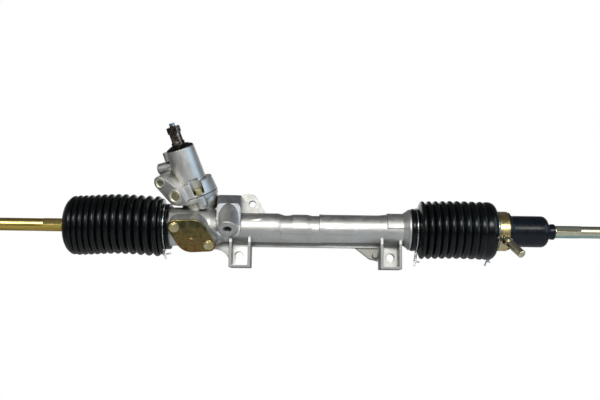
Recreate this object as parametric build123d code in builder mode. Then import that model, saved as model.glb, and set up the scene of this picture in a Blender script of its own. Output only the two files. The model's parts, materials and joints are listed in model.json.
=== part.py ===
from build123d import *
from math import acos, cos, pi, radians, sin, sqrt, tan
import os

# Hydraulic power steering rack with an outside ram.
# Frame: +X runs along the rack, +Z is up, and the feet bolt to the plane Y = 0 with the rack in front
# of it. The origin is midway between the two foot bolts. All sizes are in millimetres.

# Clearances
RUN_GAP = 0.05          # radial, between a shaft and its bearing
SOFT_GAP = 0.3          # between rubber and what it grips
SHELL_GAP = 0.6         # between a part that turns and a cast wall

# Rack bar and its travel
RACK_Y = -20.0
RACK_Z = 35.0
RACK_R = 12.0
TRAVEL = 65.0
RACK_LEFT = -247.5
RACK_RIGHT = 238.6
RACK_BORE_R = 13.2
STUD_THREAD_R = 8.5
STUD_THREAD_LENGTH = 20.0

# Rack teeth and pinion
MODULE = 1.75
PRESSURE_ANGLE = 20.0
PINION_TEETH = 8
PROFILE_SHIFT = 0.53
TOOTH_PLAY = 0.12
TOOTH_CLEARANCE = 0.25
RACK_FLAT = 9.5         # rack axis to the tooth tips
PINION_TIP_R = 9.4
PINION_FACE = 26.0
PINION_X = -138.0       # where the pinion axis crosses the rack
PINION_TILT = 18.0      # top of the tower leans towards -X
GUIDE_ANGLE = 20.0      # the guide looks this far below -Y

# Cast housing, stations along the rack
LEFT_END = -196.0
LEFT_STOP = -176.0
NECK_R = 24.8
BARREL_START = -178.0
BARREL_R = 24.0
BARREL_END = -129.0
TUBE_START = -113.0
TUBE_R = 18.25
BAND_X = 7.0
BAND_WIDTH = 4.0
BAND_PROUD = 0.2
SLIM_TUBE_R = 17.5
WAIST_START = -46.0     # from here to the band the tube's top dips
WAIST_R = 17.0
WAIST_DROP = 1.25
HUMP = (-35.0, -2.0)    # raised again between these places
HUMP_R = 17.7
HUMP_DROP = 0.55
HUMP_SLOPE = 8.0
LOWER_SLEEVE_START = 78.0
LOWER_SLEEVE_R = 19.4
END_SLEEVE_START = 89.0
END_SLEEVE_R = 20.0
END_FLARE_START = 108.5
RIGHT_NECK_START = 115.5
END_FLANGE_R = 25.2
END_FLANGE_WIDTH = 2.5
RIGHT_NECK_R = 23.0
LABEL_PANELS = ((-23.0, 41.0), (32.0, 38.0))   # bare raised panels, as (middle, length)
LABEL_PANEL_HEIGHT = 7.0
LABEL_PANEL_DROP = 4.6
LABEL_PANEL_PROUD = 0.2
RIGHT_END = 130.0
LEFT_COUNTERBORE_R = 20.5
BUSH_R = 15.0
BUSH_START = 100.0
BUSH_LENGTH = 26.0

# Feet, web, upper ear and ram anchor
FOOT_BOLT_X = 95.0
FOOT_BOLT_R = 5.25
FOOT_PLATE = 12.0
FOOT_DEPTH = 33.7
FOOT_BOTTOM = -15.0
FOOT_FLOOR = 3.0
LEFT_FOOT = (-106.0, -79.3)
RIGHT_FOOT = (80.6, 107.0)
FOOT_WALL = 3.5
GUSSET_R = 20.0
GUSSET_DEPTH = 7.0
WEB_BOTTOM = 11.6
WEB_BACK = -5.0
PLATE_REACH = 30.0      # sloping plate left of the right foot
PLATE_KNEE = 12.0
PLATE_BOTTOM = -5.0
EAR_TOP = 78.0
EAR_DEPTH = 8.0
EAR_WIDTH = (-90.5, -76.9)      # its flat top
EAR_FOOT_X = -58.5
EAR_CORNER = 6.0
EAR_HOLE_X = -79.6
EAR_HOLE_Z = 65.6
EAR_HOLE_R = 4.25
DOWEL_X = 76.0
DOWEL_Z = 3.0
DOWEL_R = 3.7
ANCHOR_X = -107.0
ANCHOR_ANGLE = 52.0     # the anchor boss looks this far below -Y
ANCHOR_R = 12.5
ANCHOR_REACH = (-29.6, -5.2)   # its end face from the rack axis, in Y and Z
ANCHOR_LENGTH = 45.0
ANCHOR_HOLE_R = 5.1
ANCHOR_HOLE_DEPTH = 26.0
ANCHOR_BLOCK_WIDTH = 30.0
ANCHOR_BLOCK_TOP = 74.3
ANCHOR_BLOCK_FRONT = 39.7
ANCHOR_BLOCK_CORNER = 5.4
FIN_LENGTH = 42.0
FIN_RISE = 7.0
FIN_THICKNESS = 1.8
FIN_REACH = 16.5
FIN_TOP = 38.6          # where it leaves the anchor

# Guide (yoke) and its cover
GUIDE_X = -149.0
GUIDE_FACE = 40.0
GUIDE_R = 15.0
GUIDE_TOP = 31.0
COVER_THICKNESS = 3.0
CIRCLIP_WIDTH = 1.5     # ring that holds the pinion's upper bearing
CIRCLIP_DEPTH = 2.5
COVER_EDGE = 0.7
COVER_R = 20.5
COVER_LUG_R = 8.5
COVER_BOLT_REACH = 23.3
COVER_BOLT_SLOPE = -27.5
COVER_BOLT_R = 3.0
COVER_BOLT_LENGTH = 16.0
COVER_HEAD_AF = 9.0
COVER_DIMPLE_R = 3.4
GUIDE_SPRING_R = 7.0
GUIDE_SPRING_WIRE = 1.2
GUIDE_POCKET = 19.0

# Tower, measured along the pinion axis from where it crosses the rack
TOWER_FOOT = -24.0
TOWER_FOOT_R = 13.5
TOWER_R = 21.0
TOWER_TOP = 40.0
FLANGE_R = 28.0
FLANGE_THICKNESS = 5.0
LOBE_R = 17.5            # rounded bulge under the flange, towards +X
LOBE_REACH = 8.5
LOBE_START = 30.0
TOWER_BOSS_R = 7.0
PINION_BORE_R = 10.2
LOWER_BUSH_R = 9.0
LOWER_JOURNAL_R = 5.5
BEARING_START = 22.0
BEARING_WIDTH = 12.0
BEARING_R = 17.5
BEARING_BORE_R = 8.5
BALL_COUNT = 8
BALL_R = 2.2
GASKET = 0.8
VALVE_FLANGE_TOP = 58.0
VALVE_BASE_R = 19.2
VALVE_TOP_R = 17.5
VALVE_TOP = 101.5
VALVE_BORE_R = 14.0
VALVE_BORE_TOP = 89.5
INPUT_BUSH_R = 12.0
INPUT_BUSH_START = 90.0
INPUT_BUSH_LENGTH = 7.0
OIL_SEAL_R = 13.0
TOWER_BOLT_REACH = 23.0
TOWER_BOLT_TURN = 20.0
TOWER_BOLT_R = 4.0
TOWER_BOLT_SEAT = 43.0
TOWER_BOLT_LENGTH = 14.0
TOWER_HEAD_AF = 10.0
TOWER_HEAD_HEIGHT = 6.0
SPOT_FACE_R = 7.6

# Ports on the valve housing, as (across, along the tower)
PORT_TURN = -25.0
PORT_FACE = 34.0
SMALL_PORT = (-21.0, 70.1)
LARGE_PORT = (-6.7, 49.6)
SMALL_PORT_R = 4.3
LARGE_PORT_R = 5.4
SMALL_PORT_BOSS_R = 8.6
LARGE_PORT_BOSS_R = 11.6
SMALL_PORT_RING_R = 6.8
LARGE_PORT_RING_R = 9.2
PORT_RING_PROUD = 0.8
PORT_MOUTH = 1.2        # countersink at the mouth of a port
PORT_CORNER = (5.4, 39.6)   # lower corner of the block, towards the flange bolt
PORT_CORNER_R = 1.5
SMALL_PORT_DEPTH = 12.0
LARGE_PORT_DEPTH = 14.0
PORT_PILOT = 0.75       # pilot bore below the thread, as a share of its radius
PORT_PILOT_DEPTH = 6.0
SIDE_BOSS_TURN = -14.7
SIDE_BOSS_Z = 82.0
SIDE_BOSS_R = 7.5
SIDE_BOSS_REACH = 36.5
RIM_LUG_R = 6.0         # lug beside the top rim
RIM_LUG_REACH = 17.0
RIM_LUG_START = 90.5

# Rotary valve and input shaft
COUPLING_R = 13.3
COUPLING_START = 43.0
COUPLING_END = 48.0
SLEEVE_R = 13.3
SLEEVE_END = 88.0
SLEEVE_RINGS = 4
SLEEVE_RING_WIDTH = 1.6
SLEEVE_RING_DEPTH = 1.0
INPUT_R = 8.45
INPUT_START = 49.0
INPUT_GROOVE = (110.0, 121.0)
INPUT_GROOVE_R = 7.25
INPUT_SPLINE_R = 8.5
INPUT_SPLINE_END = 129.5
INPUT_SPLINES = 24
SPLINE_DEPTH = 0.8
INPUT_STUB_R = 3.5
INPUT_END = 134.0
TORSION_R = 2.6
TORSION_BORE_R = 3.4
TORSION_START = 20.0
TORSION_END = 124.0
DUST_SEAL_R = 16.8
DUST_SEAL_HEIGHT = 4.5

# Inner ball joints
BALL_JOINT_R = 11.0
SEAT_WALL = 2.5
SEAT_R = BALL_JOINT_R + SEAT_WALL
JOINT_MOUTH = 12.0      # ball centre to the open end of its housing
LIP_R = 9.8
MOUTH_R = 10.9
SEAT_FRONT = 6.5
SEAT_BACK = 8.0
ROD_NECK_R = 5.2
ROD_NECK = 15.0
WASHER = 1.5
LEFT_BALL_X = -280.0
LEFT_BALL_HOUSING_R = 18.0
RIGHT_BALL_X = 272.0
RIGHT_BALL_HOUSING_R = 17.0

# Tie rods
LEFT_ROD_R = 8.0
LEFT_HEX = (-338.0, -315.0)
LEFT_HEX_AF = 15.6
LEFT_ROD_END = -520.0
RIGHT_ROD_R = 7.5
RIGHT_HEX = (300.0, 330.5)
RIGHT_HEX_AF = 14.8
RIGHT_ROD_END = 512.0
LEFT_THREAD_R = 7.0
RIGHT_THREAD_R = 6.0
THREAD_LENGTH = 56.0
THREAD_GROOVE = (1.5, 0.8)      # width and depth, between the lock nut and the outer joint's thread
NUT_STEP = 0.6         # the lock nut's thread is this much larger than the outer joint's, by radius
THREAD_CHAMFER = 1.5
NUT_AF = 22.0
NUT_WIDTH = 10.0
NUT_RUNOUT = 2.0        # thread left bare between the rod and its nut
NUT_SETBACK = THREAD_LENGTH - NUT_RUNOUT - NUT_WIDTH

# Ram collar, its stud and the boot over the right ball joint
COLLAR = (225.6, 238.6)
COLLAR_CHAMFER = 0.8
COLLAR_R = 24.7
SPIGOT_START = 216.0
SPIGOT_R = 21.0
STUD_FOOT = (230.5, -19.0, -9.5)   # X, then Y and Z from the rack axis
STUD_HEADING = (0.46, -0.641, -0.612)
STUD_R = 5.0
STUD_LENGTH = 36.0
STUD_COLLAR = (4.6, 10.6)
STUD_COLLAR_R = 6.0
STUD_GROOVE_R = 4.0
BOOT_R = 19.5
BOOT_WALL = 1.7
BOOT_LIP_R = 23.6
BOOT_BODY_END = 289.5
BOOT_NECK_R = 9.4
BOOT_END = 298.4
BOOT_SHOULDER = 7.0

# Bellows and their wire clips
LEFT_RIDGE_START = -300.3
LEFT_RIDGE_PITCH = 8.3
LEFT_RIDGES = 12
LEFT_RIDGE_R = 37.9
LEFT_VALLEY_R = 32.0
LEFT_CUFF = (-195.0, -179.6)
LEFT_CUFF_R = 27.5
LEFT_WIRE_X = -186.5
LEFT_TIP = -312.6
LEFT_TIP_R = 10.6
RIGHT_RIDGE_START = 132.9
RIGHT_RIDGE_PITCH = 9.0
RIGHT_RIDGES = 10
RIGHT_RIDGE_R = 36.2
RIGHT_VALLEY_R = 31.0
RIGHT_CUFF = (118.3, 127.0)
RIGHT_CUFF_R = 25.6
RIGHT_TIP_R = 24.2
BELLOWS_WALL = 1.6
WIRE_R = 0.9
CLIP_TURNS = 2

# Frames: each one's Z is the axis that its pieces are turned about.
RACK = Plane(origin=(0, RACK_Y, RACK_Z), x_dir=(0, 1, 0), z_dir=(1, 0, 0))
LEAN = radians(GUIDE_ANGLE)
TILT = radians(PINION_TILT)
GUIDE_DIR = Vector(0, -cos(LEAN), -sin(LEAN))
GUIDE_UP = Vector(0, -sin(LEAN), cos(LEAN))
TOWER_DIR = GUIDE_UP * cos(TILT) - Vector(1, 0, 0) * sin(TILT)
REFERENCE_R = MODULE * PINION_TEETH / 2
RACK_LINE = RACK_FLAT - MODULE
PINION_OFFSET = RACK_LINE + REFERENCE_R + PROFILE_SHIFT * MODULE
CROSSING = Vector(PINION_X, RACK_Y, RACK_Z)
TOWER = Plane(origin=CROSSING - GUIDE_DIR * PINION_OFFSET, x_dir=GUIDE_DIR, z_dir=TOWER_DIR)
PORT_AIM = TOWER.x_dir * cos(radians(PORT_TURN)) + TOWER.y_dir * sin(radians(PORT_TURN))
VALVE = Plane(origin=TOWER.origin, x_dir=PORT_AIM, z_dir=TOWER.z_dir)
TEETH = Plane(origin=CROSSING, x_dir=TOWER_DIR.cross(GUIDE_DIR), z_dir=TOWER_DIR)
GUIDE = Plane(origin=(GUIDE_X, RACK_Y, RACK_Z), x_dir=(1, 0, 0), z_dir=GUIDE_DIR)
PORTS = Plane(origin=VALVE.origin + VALVE.x_dir * PORT_FACE, x_dir=VALVE.y_dir, z_dir=VALVE.x_dir)
SIDE_AIM = TOWER.x_dir * sin(radians(SIDE_BOSS_TURN)) - TOWER.y_dir * cos(radians(SIDE_BOSS_TURN))
SIDE_BOSS = Plane(origin=TOWER.origin + TOWER.z_dir * SIDE_BOSS_Z, x_dir=TOWER.z_dir, z_dir=SIDE_AIM)
WAIST = Plane(origin=(0, RACK_Y, RACK_Z - WAIST_DROP), x_dir=(0, 1, 0), z_dir=(1, 0, 0))
RAISED = Plane(origin=(0, RACK_Y, RACK_Z - HUMP_DROP), x_dir=(0, 1, 0), z_dir=(1, 0, 0))
ANCHOR_DIR = Vector(0, -cos(radians(ANCHOR_ANGLE)), -sin(radians(ANCHOR_ANGLE)))
ANCHOR = Plane(origin=(ANCHOR_X, RACK_Y + ANCHOR_REACH[0], RACK_Z + ANCHOR_REACH[1]),
               x_dir=(1, 0, 0), z_dir=ANCHOR_DIR)
STUD = Plane(origin=(STUD_FOOT[0], RACK_Y + STUD_FOOT[1], RACK_Z + STUD_FOOT[2]),
             x_dir=(0, 0, 1), z_dir=STUD_HEADING)
LEFT_JOINT = Plane(origin=(LEFT_BALL_X, RACK_Y, RACK_Z), x_dir=(0, 1, 0), z_dir=(-1, 0, 0))
RIGHT_JOINT = Plane(origin=(RIGHT_BALL_X, RACK_Y, RACK_Z), x_dir=(0, 1, 0), z_dir=(1, 0, 0))


def turned(stations, frame=RACK, mode=Mode.ADD):
    """Turn an outline of (place along the frame's Z, radius) stations about that Z."""
    side = Plane(origin=frame.origin, x_dir=frame.z_dir, z_dir=frame.y_dir)
    with BuildSketch(side) as half:
        with BuildLine():
            Polyline((stations[0][0], 0), *stations, (stations[-1][0], 0), close=True)
        make_face()
    revolve(half.sketch, axis=Axis(frame.origin, frame.z_dir), mode=mode)


def ring(start, end, outer, inner, frame=RACK):
    """Plain ring along the frame's Z."""
    with BuildSketch(frame.offset(start)) as section:
        Circle(outer)
        Circle(inner, mode=Mode.SUBTRACT)
    extrude(section.sketch, amount=end - start)


def rod(start, end, radius, frame=RACK, mode=Mode.ADD):
    """Plain round bar along the frame's Z, or the hole it would leave."""
    with BuildSketch(frame.offset(start)) as section:
        Circle(radius)
    extrude(section.sketch, amount=end - start, mode=mode)


def hexagon(start, end, across_flats, frame=RACK):
    """Hexagonal bar along the frame's Z."""
    with BuildSketch(frame.offset(start)) as section:
        RegularPolygon(across_flats / 2, 6, major_radius=False)
    extrude(section.sketch, amount=end - start)


def flange_bolt(frame, seat, length, radius, across_flats, height):
    """Hex flange bolt whose washer face sits at the given place along the frame's Z."""
    washer = height * 0.25
    rod(seat - length, seat, radius, frame)
    rod(seat, seat + washer, across_flats * 0.68, frame)
    hexagon(seat + washer, seat + height, across_flats, frame)


def cover_bolt_frames():
    """Frames of the two guide cover bolts, on a line that slopes down towards +X."""
    slope = radians(COVER_BOLT_SLOPE)
    reach = (COVER_BOLT_REACH * cos(slope), COVER_BOLT_REACH * sin(slope))
    places = [(reach[0], reach[1]), (-reach[0], -reach[1])]
    return [GUIDE.shift_origin(GUIDE.from_local_coords((x, y, 0))) for x, y in places]


def cover_outline():
    """Oval of the guide cover: the middle circle joined to the two bolt lugs."""
    slope = radians(COVER_BOLT_SLOPE)
    x, y = COVER_BOLT_REACH * cos(slope), COVER_BOLT_REACH * sin(slope)
    with BuildSketch() as outline:
        Circle(COVER_R)
        with Locations((x, y), (-x, -y)):
            Circle(COVER_LUG_R)
        make_hull()
    return outline.sketch


def tower_bolt_frames():
    """Frames of the valve housing bolts, in front of and behind the tower."""
    frames = []
    for turn in (TOWER_BOLT_TURN, TOWER_BOLT_TURN + 180):
        x, y = TOWER_BOLT_REACH * cos(radians(turn)), TOWER_BOLT_REACH * sin(radians(turn))
        frames.append(TOWER.shift_origin(TOWER.from_local_coords((x, y, 0))))
    return frames


def foot_outer(span):
    """Foot block with rounded lower corners, from the mounting face to its front edges."""
    width = span[1] - span[0]
    with BuildSketch(Plane.XZ) as face:
        with Locations((span[0] + width / 2, (FOOT_BOTTOM + RACK_Z) / 2)):
            Rectangle(width, RACK_Z - FOOT_BOTTOM)
        fillet(face.vertices().group_by(Axis.Z)[0], radius=FOOT_WALL / 3)
    extrude(face.sketch, amount=FOOT_DEPTH)


def foot_pocket(span):
    """Open pocket of a foot, in front of its plate."""
    width = span[1] - span[0] - 2 * FOOT_WALL
    floor = FOOT_BOTTOM + FOOT_FLOOR
    with BuildSketch(Plane.XZ.offset(FOOT_PLATE)) as face:
        with Locations(((span[0] + span[1]) / 2, (floor + RACK_Z) / 2)):
            Rectangle(width, RACK_Z - floor)
        fillet(face.vertices().group_by(Axis.Z)[0], radius=FOOT_WALL / 3)
    extrude(face.sketch, amount=FOOT_DEPTH, mode=Mode.SUBTRACT)


# Rack housing: one casting
tube_stations = [
    (LEFT_END, NECK_R), (BARREL_START, NECK_R), (BARREL_START, BARREL_R), (BARREL_END, BARREL_R),
    (TUBE_START, TUBE_R), (WAIST_START, TUBE_R), (WAIST_START + HUMP_SLOPE, WAIST_R - WAIST_DROP),
    (BAND_X - BAND_WIDTH / 2, WAIST_R - WAIST_DROP), (BAND_X - BAND_WIDTH / 2, SLIM_TUBE_R + BAND_PROUD),
    (BAND_X + BAND_WIDTH / 2, SLIM_TUBE_R + BAND_PROUD), (BAND_X + BAND_WIDTH / 2, SLIM_TUBE_R),
    (LOWER_SLEEVE_START, SLIM_TUBE_R), (END_SLEEVE_START + HUMP_SLOPE, LOWER_SLEEVE_R),
    (END_FLARE_START, LOWER_SLEEVE_R), (RIGHT_NECK_START, END_FLANGE_R - 1),
    (RIGHT_NECK_START, END_FLANGE_R), (RIGHT_NECK_START + END_FLANGE_WIDTH, END_FLANGE_R),
    (RIGHT_NECK_START + END_FLANGE_WIDTH, RIGHT_NECK_R), (RIGHT_END, RIGHT_NECK_R)]
tower_stations = [
    (TOWER_FOOT, TOWER_FOOT_R), (PINION_FACE / 2, TOWER_FOOT_R + 1), (BEARING_START - 2, TOWER_R),
    (TOWER_TOP - FLANGE_THICKNESS, TOWER_R), (TOWER_TOP - FLANGE_THICKNESS, FLANGE_R - 0.5),
    (TOWER_TOP, FLANGE_R)]

# Rounded bulge and bolt bosses that carry the tower's flange
with BuildPart() as tower_bosses:
    lobe = TOWER.shift_origin(TOWER.from_local_coords((0, LOBE_REACH, 0)))
    rod(LOBE_START, TOWER_TOP, LOBE_R, lobe)
    with Locations(lobe.offset(LOBE_START)):
        Sphere(LOBE_R)
    for frame in tower_bolt_frames():
        rod(LOBE_START, TOWER_TOP, TOWER_BOSS_R, frame)
        with Locations(frame.offset(LOBE_START)):
            Sphere(TOWER_BOSS_R)
    rod(TOWER_TOP, TOWER_TOP + LOBE_R, FLANGE_R + LOBE_R, TOWER, Mode.SUBTRACT)

# Upper half of the end sleeve, cast a little larger than the lower half
with BuildPart() as upper_sleeve:
    turned([(END_SLEEVE_START, END_SLEEVE_R), (END_FLARE_START, END_SLEEVE_R),
            (RIGHT_NECK_START, END_FLANGE_R - 0.5)])
    split(bisect_by=Plane.XY.offset(RACK_Z), keep=Keep.TOP)

# Ram anchor's block: its top runs level with the boss, and its front is upright
with BuildPart() as anchor_block:
    with BuildSketch(ANCHOR.offset(-3 * ANCHOR_LENGTH)) as section:
        RectangleRounded(ANCHOR_BLOCK_WIDTH, 2 * ANCHOR_R, ANCHOR_BLOCK_CORNER)
    extrude(section.sketch, amount=3 * ANCHOR_LENGTH)
    with BuildSketch(Plane.XZ) as limits:
        with Locations((ANCHOR_X, ANCHOR_BLOCK_TOP / 2)):
            Rectangle(2 * ANCHOR_BLOCK_WIDTH, ANCHOR_BLOCK_TOP)
    extrude(limits.sketch, amount=ANCHOR_BLOCK_FRONT, mode=Mode.INTERSECT)

with BuildPart() as rack_housing:
    for span in (LEFT_FOOT, RIGHT_FOOT):
        foot_outer(span)
    for span in (LEFT_FOOT, RIGHT_FOOT):
        foot_pocket(span)
    # Web between the feet, below the tube
    with BuildSketch(Plane.XZ.offset(-WEB_BACK)):
        with Locations(((LEFT_FOOT[1] + RIGHT_FOOT[0]) / 2, (WEB_BOTTOM + RACK_Z) / 2)):
            Rectangle(RIGHT_FOOT[0] - LEFT_FOOT[1] + FOOT_WALL, RACK_Z - WEB_BOTTOM)
    extrude(amount=FOOT_PLATE + WEB_BACK)
    # Gusset from the barrel down to the left foot
    with BuildSketch(Plane.XZ.offset(-WEB_BACK)):
        with Locations((LEFT_FOOT[0] - GUSSET_R / 2, (FOOT_BOTTOM + FOOT_FLOOR + RACK_Z) / 2)):
            Rectangle(GUSSET_R + 1, RACK_Z - FOOT_BOTTOM - FOOT_FLOOR)
        with Locations((LEFT_FOOT[0] - GUSSET_R, FOOT_BOTTOM + FOOT_FLOOR)):
            Circle(GUSSET_R, mode=Mode.SUBTRACT)
    extrude(amount=GUSSET_DEPTH)
    # Plate beside the right foot, with its dowel boss
    with BuildSketch(Plane.XZ.offset(-WEB_BACK)):
        with BuildLine():
            Polyline((RIGHT_FOOT[0] - PLATE_REACH, RACK_Z), (RIGHT_FOOT[0] - PLATE_REACH, WEB_BOTTOM),
                     (RIGHT_FOOT[0] - PLATE_KNEE, PLATE_BOTTOM + 3), (RIGHT_FOOT[0] + 1, PLATE_BOTTOM),
                     (RIGHT_FOOT[0] + 1, RACK_Z), close=True)
        make_face()
    extrude(amount=FOOT_PLATE + WEB_BACK - 2)
    with BuildSketch(Plane.XZ.offset(-WEB_BACK)):
        with Locations((DOWEL_X, DOWEL_Z)):
            Circle(DOWEL_R)
    extrude(amount=FOOT_PLATE + WEB_BACK + 3)
    # Upper ear
    with BuildSketch(Plane.XZ):
        with BuildLine():
            Polyline((ANCHOR_X, RACK_Z), (ANCHOR_X, RACK_Z + 2 * TUBE_R), (EAR_WIDTH[0], EAR_TOP),
                     (EAR_WIDTH[1], EAR_TOP), (EAR_FOOT_X, RACK_Z + TUBE_R * 0.67), (EAR_FOOT_X, RACK_Z),
                     close=True)
        ear = make_face()
        fillet(ear.vertices().sort_by(Axis.Z)[-2:], radius=EAR_CORNER)
    extrude(amount=EAR_DEPTH)
    # Tube, barrel, pinion tower and guide pad
    turned(tube_stations)
    turned([(WAIST_START - 2, WAIST_R), (BAND_X, WAIST_R)], WAIST)
    turned([(HUMP[0], WAIST_R - 1), (HUMP[0] + HUMP_SLOPE, HUMP_R), (HUMP[1] - HUMP_SLOPE, HUMP_R),
            (HUMP[1], WAIST_R - 1)], RAISED)
    add(upper_sleeve.part)
    # Raised panels on the front of the tube
    with BuildSketch(Plane.XZ.offset(-RACK_Y)):
        for middle, length in LABEL_PANELS:
            with Locations((middle, RACK_Z - LABEL_PANEL_DROP)):
                SlotOverall(length, LABEL_PANEL_HEIGHT)
    extrude(amount=SLIM_TUBE_R + LABEL_PANEL_PROUD)
    turned(tower_stations, TOWER)
    add(tower_bosses.part)
    with BuildSketch(GUIDE.offset(GUIDE_FACE)):
        add(cover_outline())
    extrude(amount=-GUIDE_FACE)
    # Ram anchor: its block, and the round boss that looks forward and down
    add(anchor_block.part)
    rod(-ANCHOR_LENGTH, -1, ANCHOR_R, ANCHOR)
    turned([(-1, ANCHOR_R), (0, ANCHOR_R - 1)], ANCHOR)
    # Thin fin from the anchor along the tube
    with BuildSketch(Plane.XZ.offset(-RACK_Y)):
        with BuildLine():
            Polyline((ANCHOR_X, FIN_TOP), (ANCHOR_X + FIN_LENGTH, FIN_TOP + FIN_RISE),
                     (ANCHOR_X + FIN_LENGTH - 4, FIN_TOP + FIN_RISE - FIN_THICKNESS - 1),
                     (ANCHOR_X, FIN_TOP - FIN_THICKNESS), close=True)
        make_face()
    extrude(amount=FIN_REACH)
    # Bores
    turned([(LEFT_END - 1, LEFT_COUNTERBORE_R), (LEFT_STOP, LEFT_COUNTERBORE_R), (LEFT_STOP, RACK_BORE_R),
            (BUSH_START, RACK_BORE_R), (BUSH_START, BUSH_R), (RIGHT_END + 1, BUSH_R)], mode=Mode.SUBTRACT)
    turned([(-PINION_FACE / 2 - 8, LOWER_BUSH_R), (-PINION_FACE / 2 - 1, LOWER_BUSH_R),
            (-PINION_FACE / 2 - 1, PINION_BORE_R), (BEARING_START, PINION_BORE_R),
            (BEARING_START, BEARING_R), (TOWER_TOP + 1, BEARING_R)], TOWER, Mode.SUBTRACT)
    rod(0, GUIDE_FACE + 1, GUIDE_R, GUIDE, Mode.SUBTRACT)
    for frame in cover_bolt_frames():
        rod(GUIDE_FACE - COVER_BOLT_LENGTH, GUIDE_FACE + 1, COVER_BOLT_R, frame, Mode.SUBTRACT)
    for frame in tower_bolt_frames():
        rod(TOWER_BOLT_SEAT - TOWER_BOLT_LENGTH - 1, TOWER_TOP + 1, TOWER_BOLT_R, frame, Mode.SUBTRACT)
    rod(-ANCHOR_HOLE_DEPTH, 1, ANCHOR_HOLE_R, ANCHOR, Mode.SUBTRACT)
    with BuildSketch(Plane.XZ.offset(-1)):
        with Locations((-FOOT_BOLT_X, 0), (FOOT_BOLT_X, 0)):
            Circle(FOOT_BOLT_R)
        with Locations((EAR_HOLE_X, EAR_HOLE_Z)):
            Circle(EAR_HOLE_R)
    extrude(amount=FOOT_PLATE + 2, mode=Mode.SUBTRACT)
rack_housing.part.label = "rack_housing"

# Rack bar, with teeth cut parallel to the pinion
rack_pitch = pi * MODULE / cos(TILT)
tooth_zone = TRAVEL + PINION_FACE / 2 + rack_pitch
gap_floor = RACK_LINE - MODULE * (1 + TOOTH_CLEARANCE)
gap_bottom = pi * MODULE / 2 - 2 * (RACK_LINE - gap_floor) * tan(radians(PRESSURE_ANGLE))
gap_top = pi * MODULE / 2 + 2 * (RACK_R + 1 - RACK_LINE) * tan(radians(PRESSURE_ANGLE))
gap_count = 2 * int(tooth_zone / rack_pitch) + 1

with BuildPart() as rack_bar:
    rod(RACK_LEFT, RACK_RIGHT, RACK_R)
    # Flat over the toothed length
    with BuildSketch(GUIDE.offset(-RACK_FLAT)):
        with Locations((PINION_X - GUIDE_X, 0)):
            Rectangle(2 * tooth_zone + rack_pitch, 2 * RACK_R + 2)
    extrude(amount=-RACK_R, mode=Mode.SUBTRACT)
    # One gap and its repeats along the rack
    with BuildSketch(TEETH.offset(-RACK_R * 2)) as gap:
        with BuildLine():
            Polyline((-gap_bottom / 2, gap_floor), (gap_bottom / 2, gap_floor), (gap_top / 2, RACK_R + 1),
                     (-gap_top / 2, RACK_R + 1), close=True)
        make_face()
    gap_cutter = extrude(gap.sketch, amount=RACK_R * 4, mode=Mode.PRIVATE)
    for number in range(gap_count):
        shift = (number - gap_count // 2) * rack_pitch
        add(Pos(shift, 0, 0) * gap_cutter, mode=Mode.SUBTRACT)
    # Threaded sockets for the two inner ball joints
    rod(RACK_LEFT - 1, RACK_LEFT + STUD_THREAD_LENGTH, STUD_THREAD_R, mode=Mode.SUBTRACT)
    rod(RACK_RIGHT - STUD_THREAD_LENGTH, RACK_RIGHT + 1, STUD_THREAD_R, mode=Mode.SUBTRACT)
rack_bar.part.label = "rack_bar"

# Pinion with its shaft, journals and the coupling collar of the valve
base_r = REFERENCE_R * cos(radians(PRESSURE_ANGLE))
root_r = REFERENCE_R - MODULE * (1 + TOOTH_CLEARANCE - PROFILE_SHIFT)
tooth_width = MODULE * (pi / 2 + 2 * PROFILE_SHIFT * tan(radians(PRESSURE_ANGLE))) - TOOTH_PLAY
involute_at_reference = tan(radians(PRESSURE_ANGLE)) - radians(PRESSURE_ANGLE)
base_half_angle = tooth_width / (2 * REFERENCE_R) + involute_at_reference


def flank_point(radius, side):
    """Point of an involute flank at the radius, with the tooth's middle along X."""
    roll = acos(min(1.0, base_r / radius))
    angle = side * (base_half_angle - (tan(roll) - roll))
    return (radius * cos(angle), radius * sin(angle))


def tooth_outline():
    """One pinion tooth, from the root to its tip."""
    radii = [base_r + (PINION_TIP_R - base_r) * step / 4 for step in range(5)]
    foot = (root_r - 0.5) * cos(base_half_angle), (root_r - 0.5) * sin(base_half_angle)
    with BuildSketch() as outline:
        with BuildLine():
            right = Spline([flank_point(radius, -1) for radius in radii])
            left = Spline([flank_point(radius, 1) for radius in radii])
            ThreePointArc(right @ 1, (PINION_TIP_R, 0), left @ 1)
            Polyline(left @ 0, (foot[0], foot[1]), (foot[0], -foot[1]), right @ 0)
        make_face()
    return outline.sketch


with BuildPart() as pinion:
    # The gap of the rack faces the pinion at the crossing, so a tooth points at it.
    with BuildSketch(TOWER.offset(-PINION_FACE / 2)) as teeth:
        Circle(root_r)
        with PolarLocations(0, PINION_TEETH):
            add(tooth_outline())
    extrude(teeth.sketch, amount=PINION_FACE)
    rod(-PINION_FACE / 2 - 8 + SHELL_GAP, -PINION_FACE / 2, LOWER_JOURNAL_R, TOWER)
    turned([(PINION_FACE / 2, PINION_TIP_R), (BEARING_START, PINION_TIP_R), (BEARING_START, BEARING_BORE_R),
            (COUPLING_START, BEARING_BORE_R), (COUPLING_START, COUPLING_R), (COUPLING_END, COUPLING_R)],
           TOWER)
    rod(TORSION_START, COUPLING_END + 1, TORSION_R, TOWER, Mode.SUBTRACT)
pinion.part.label = "pinion"

with BuildPart() as pinion_lower_bush:
    ring(-PINION_FACE / 2 - 8, -PINION_FACE / 2 - 1, LOWER_BUSH_R, LOWER_JOURNAL_R + RUN_GAP, TOWER)
pinion_lower_bush.part.label = "pinion_lower_bush"

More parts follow.
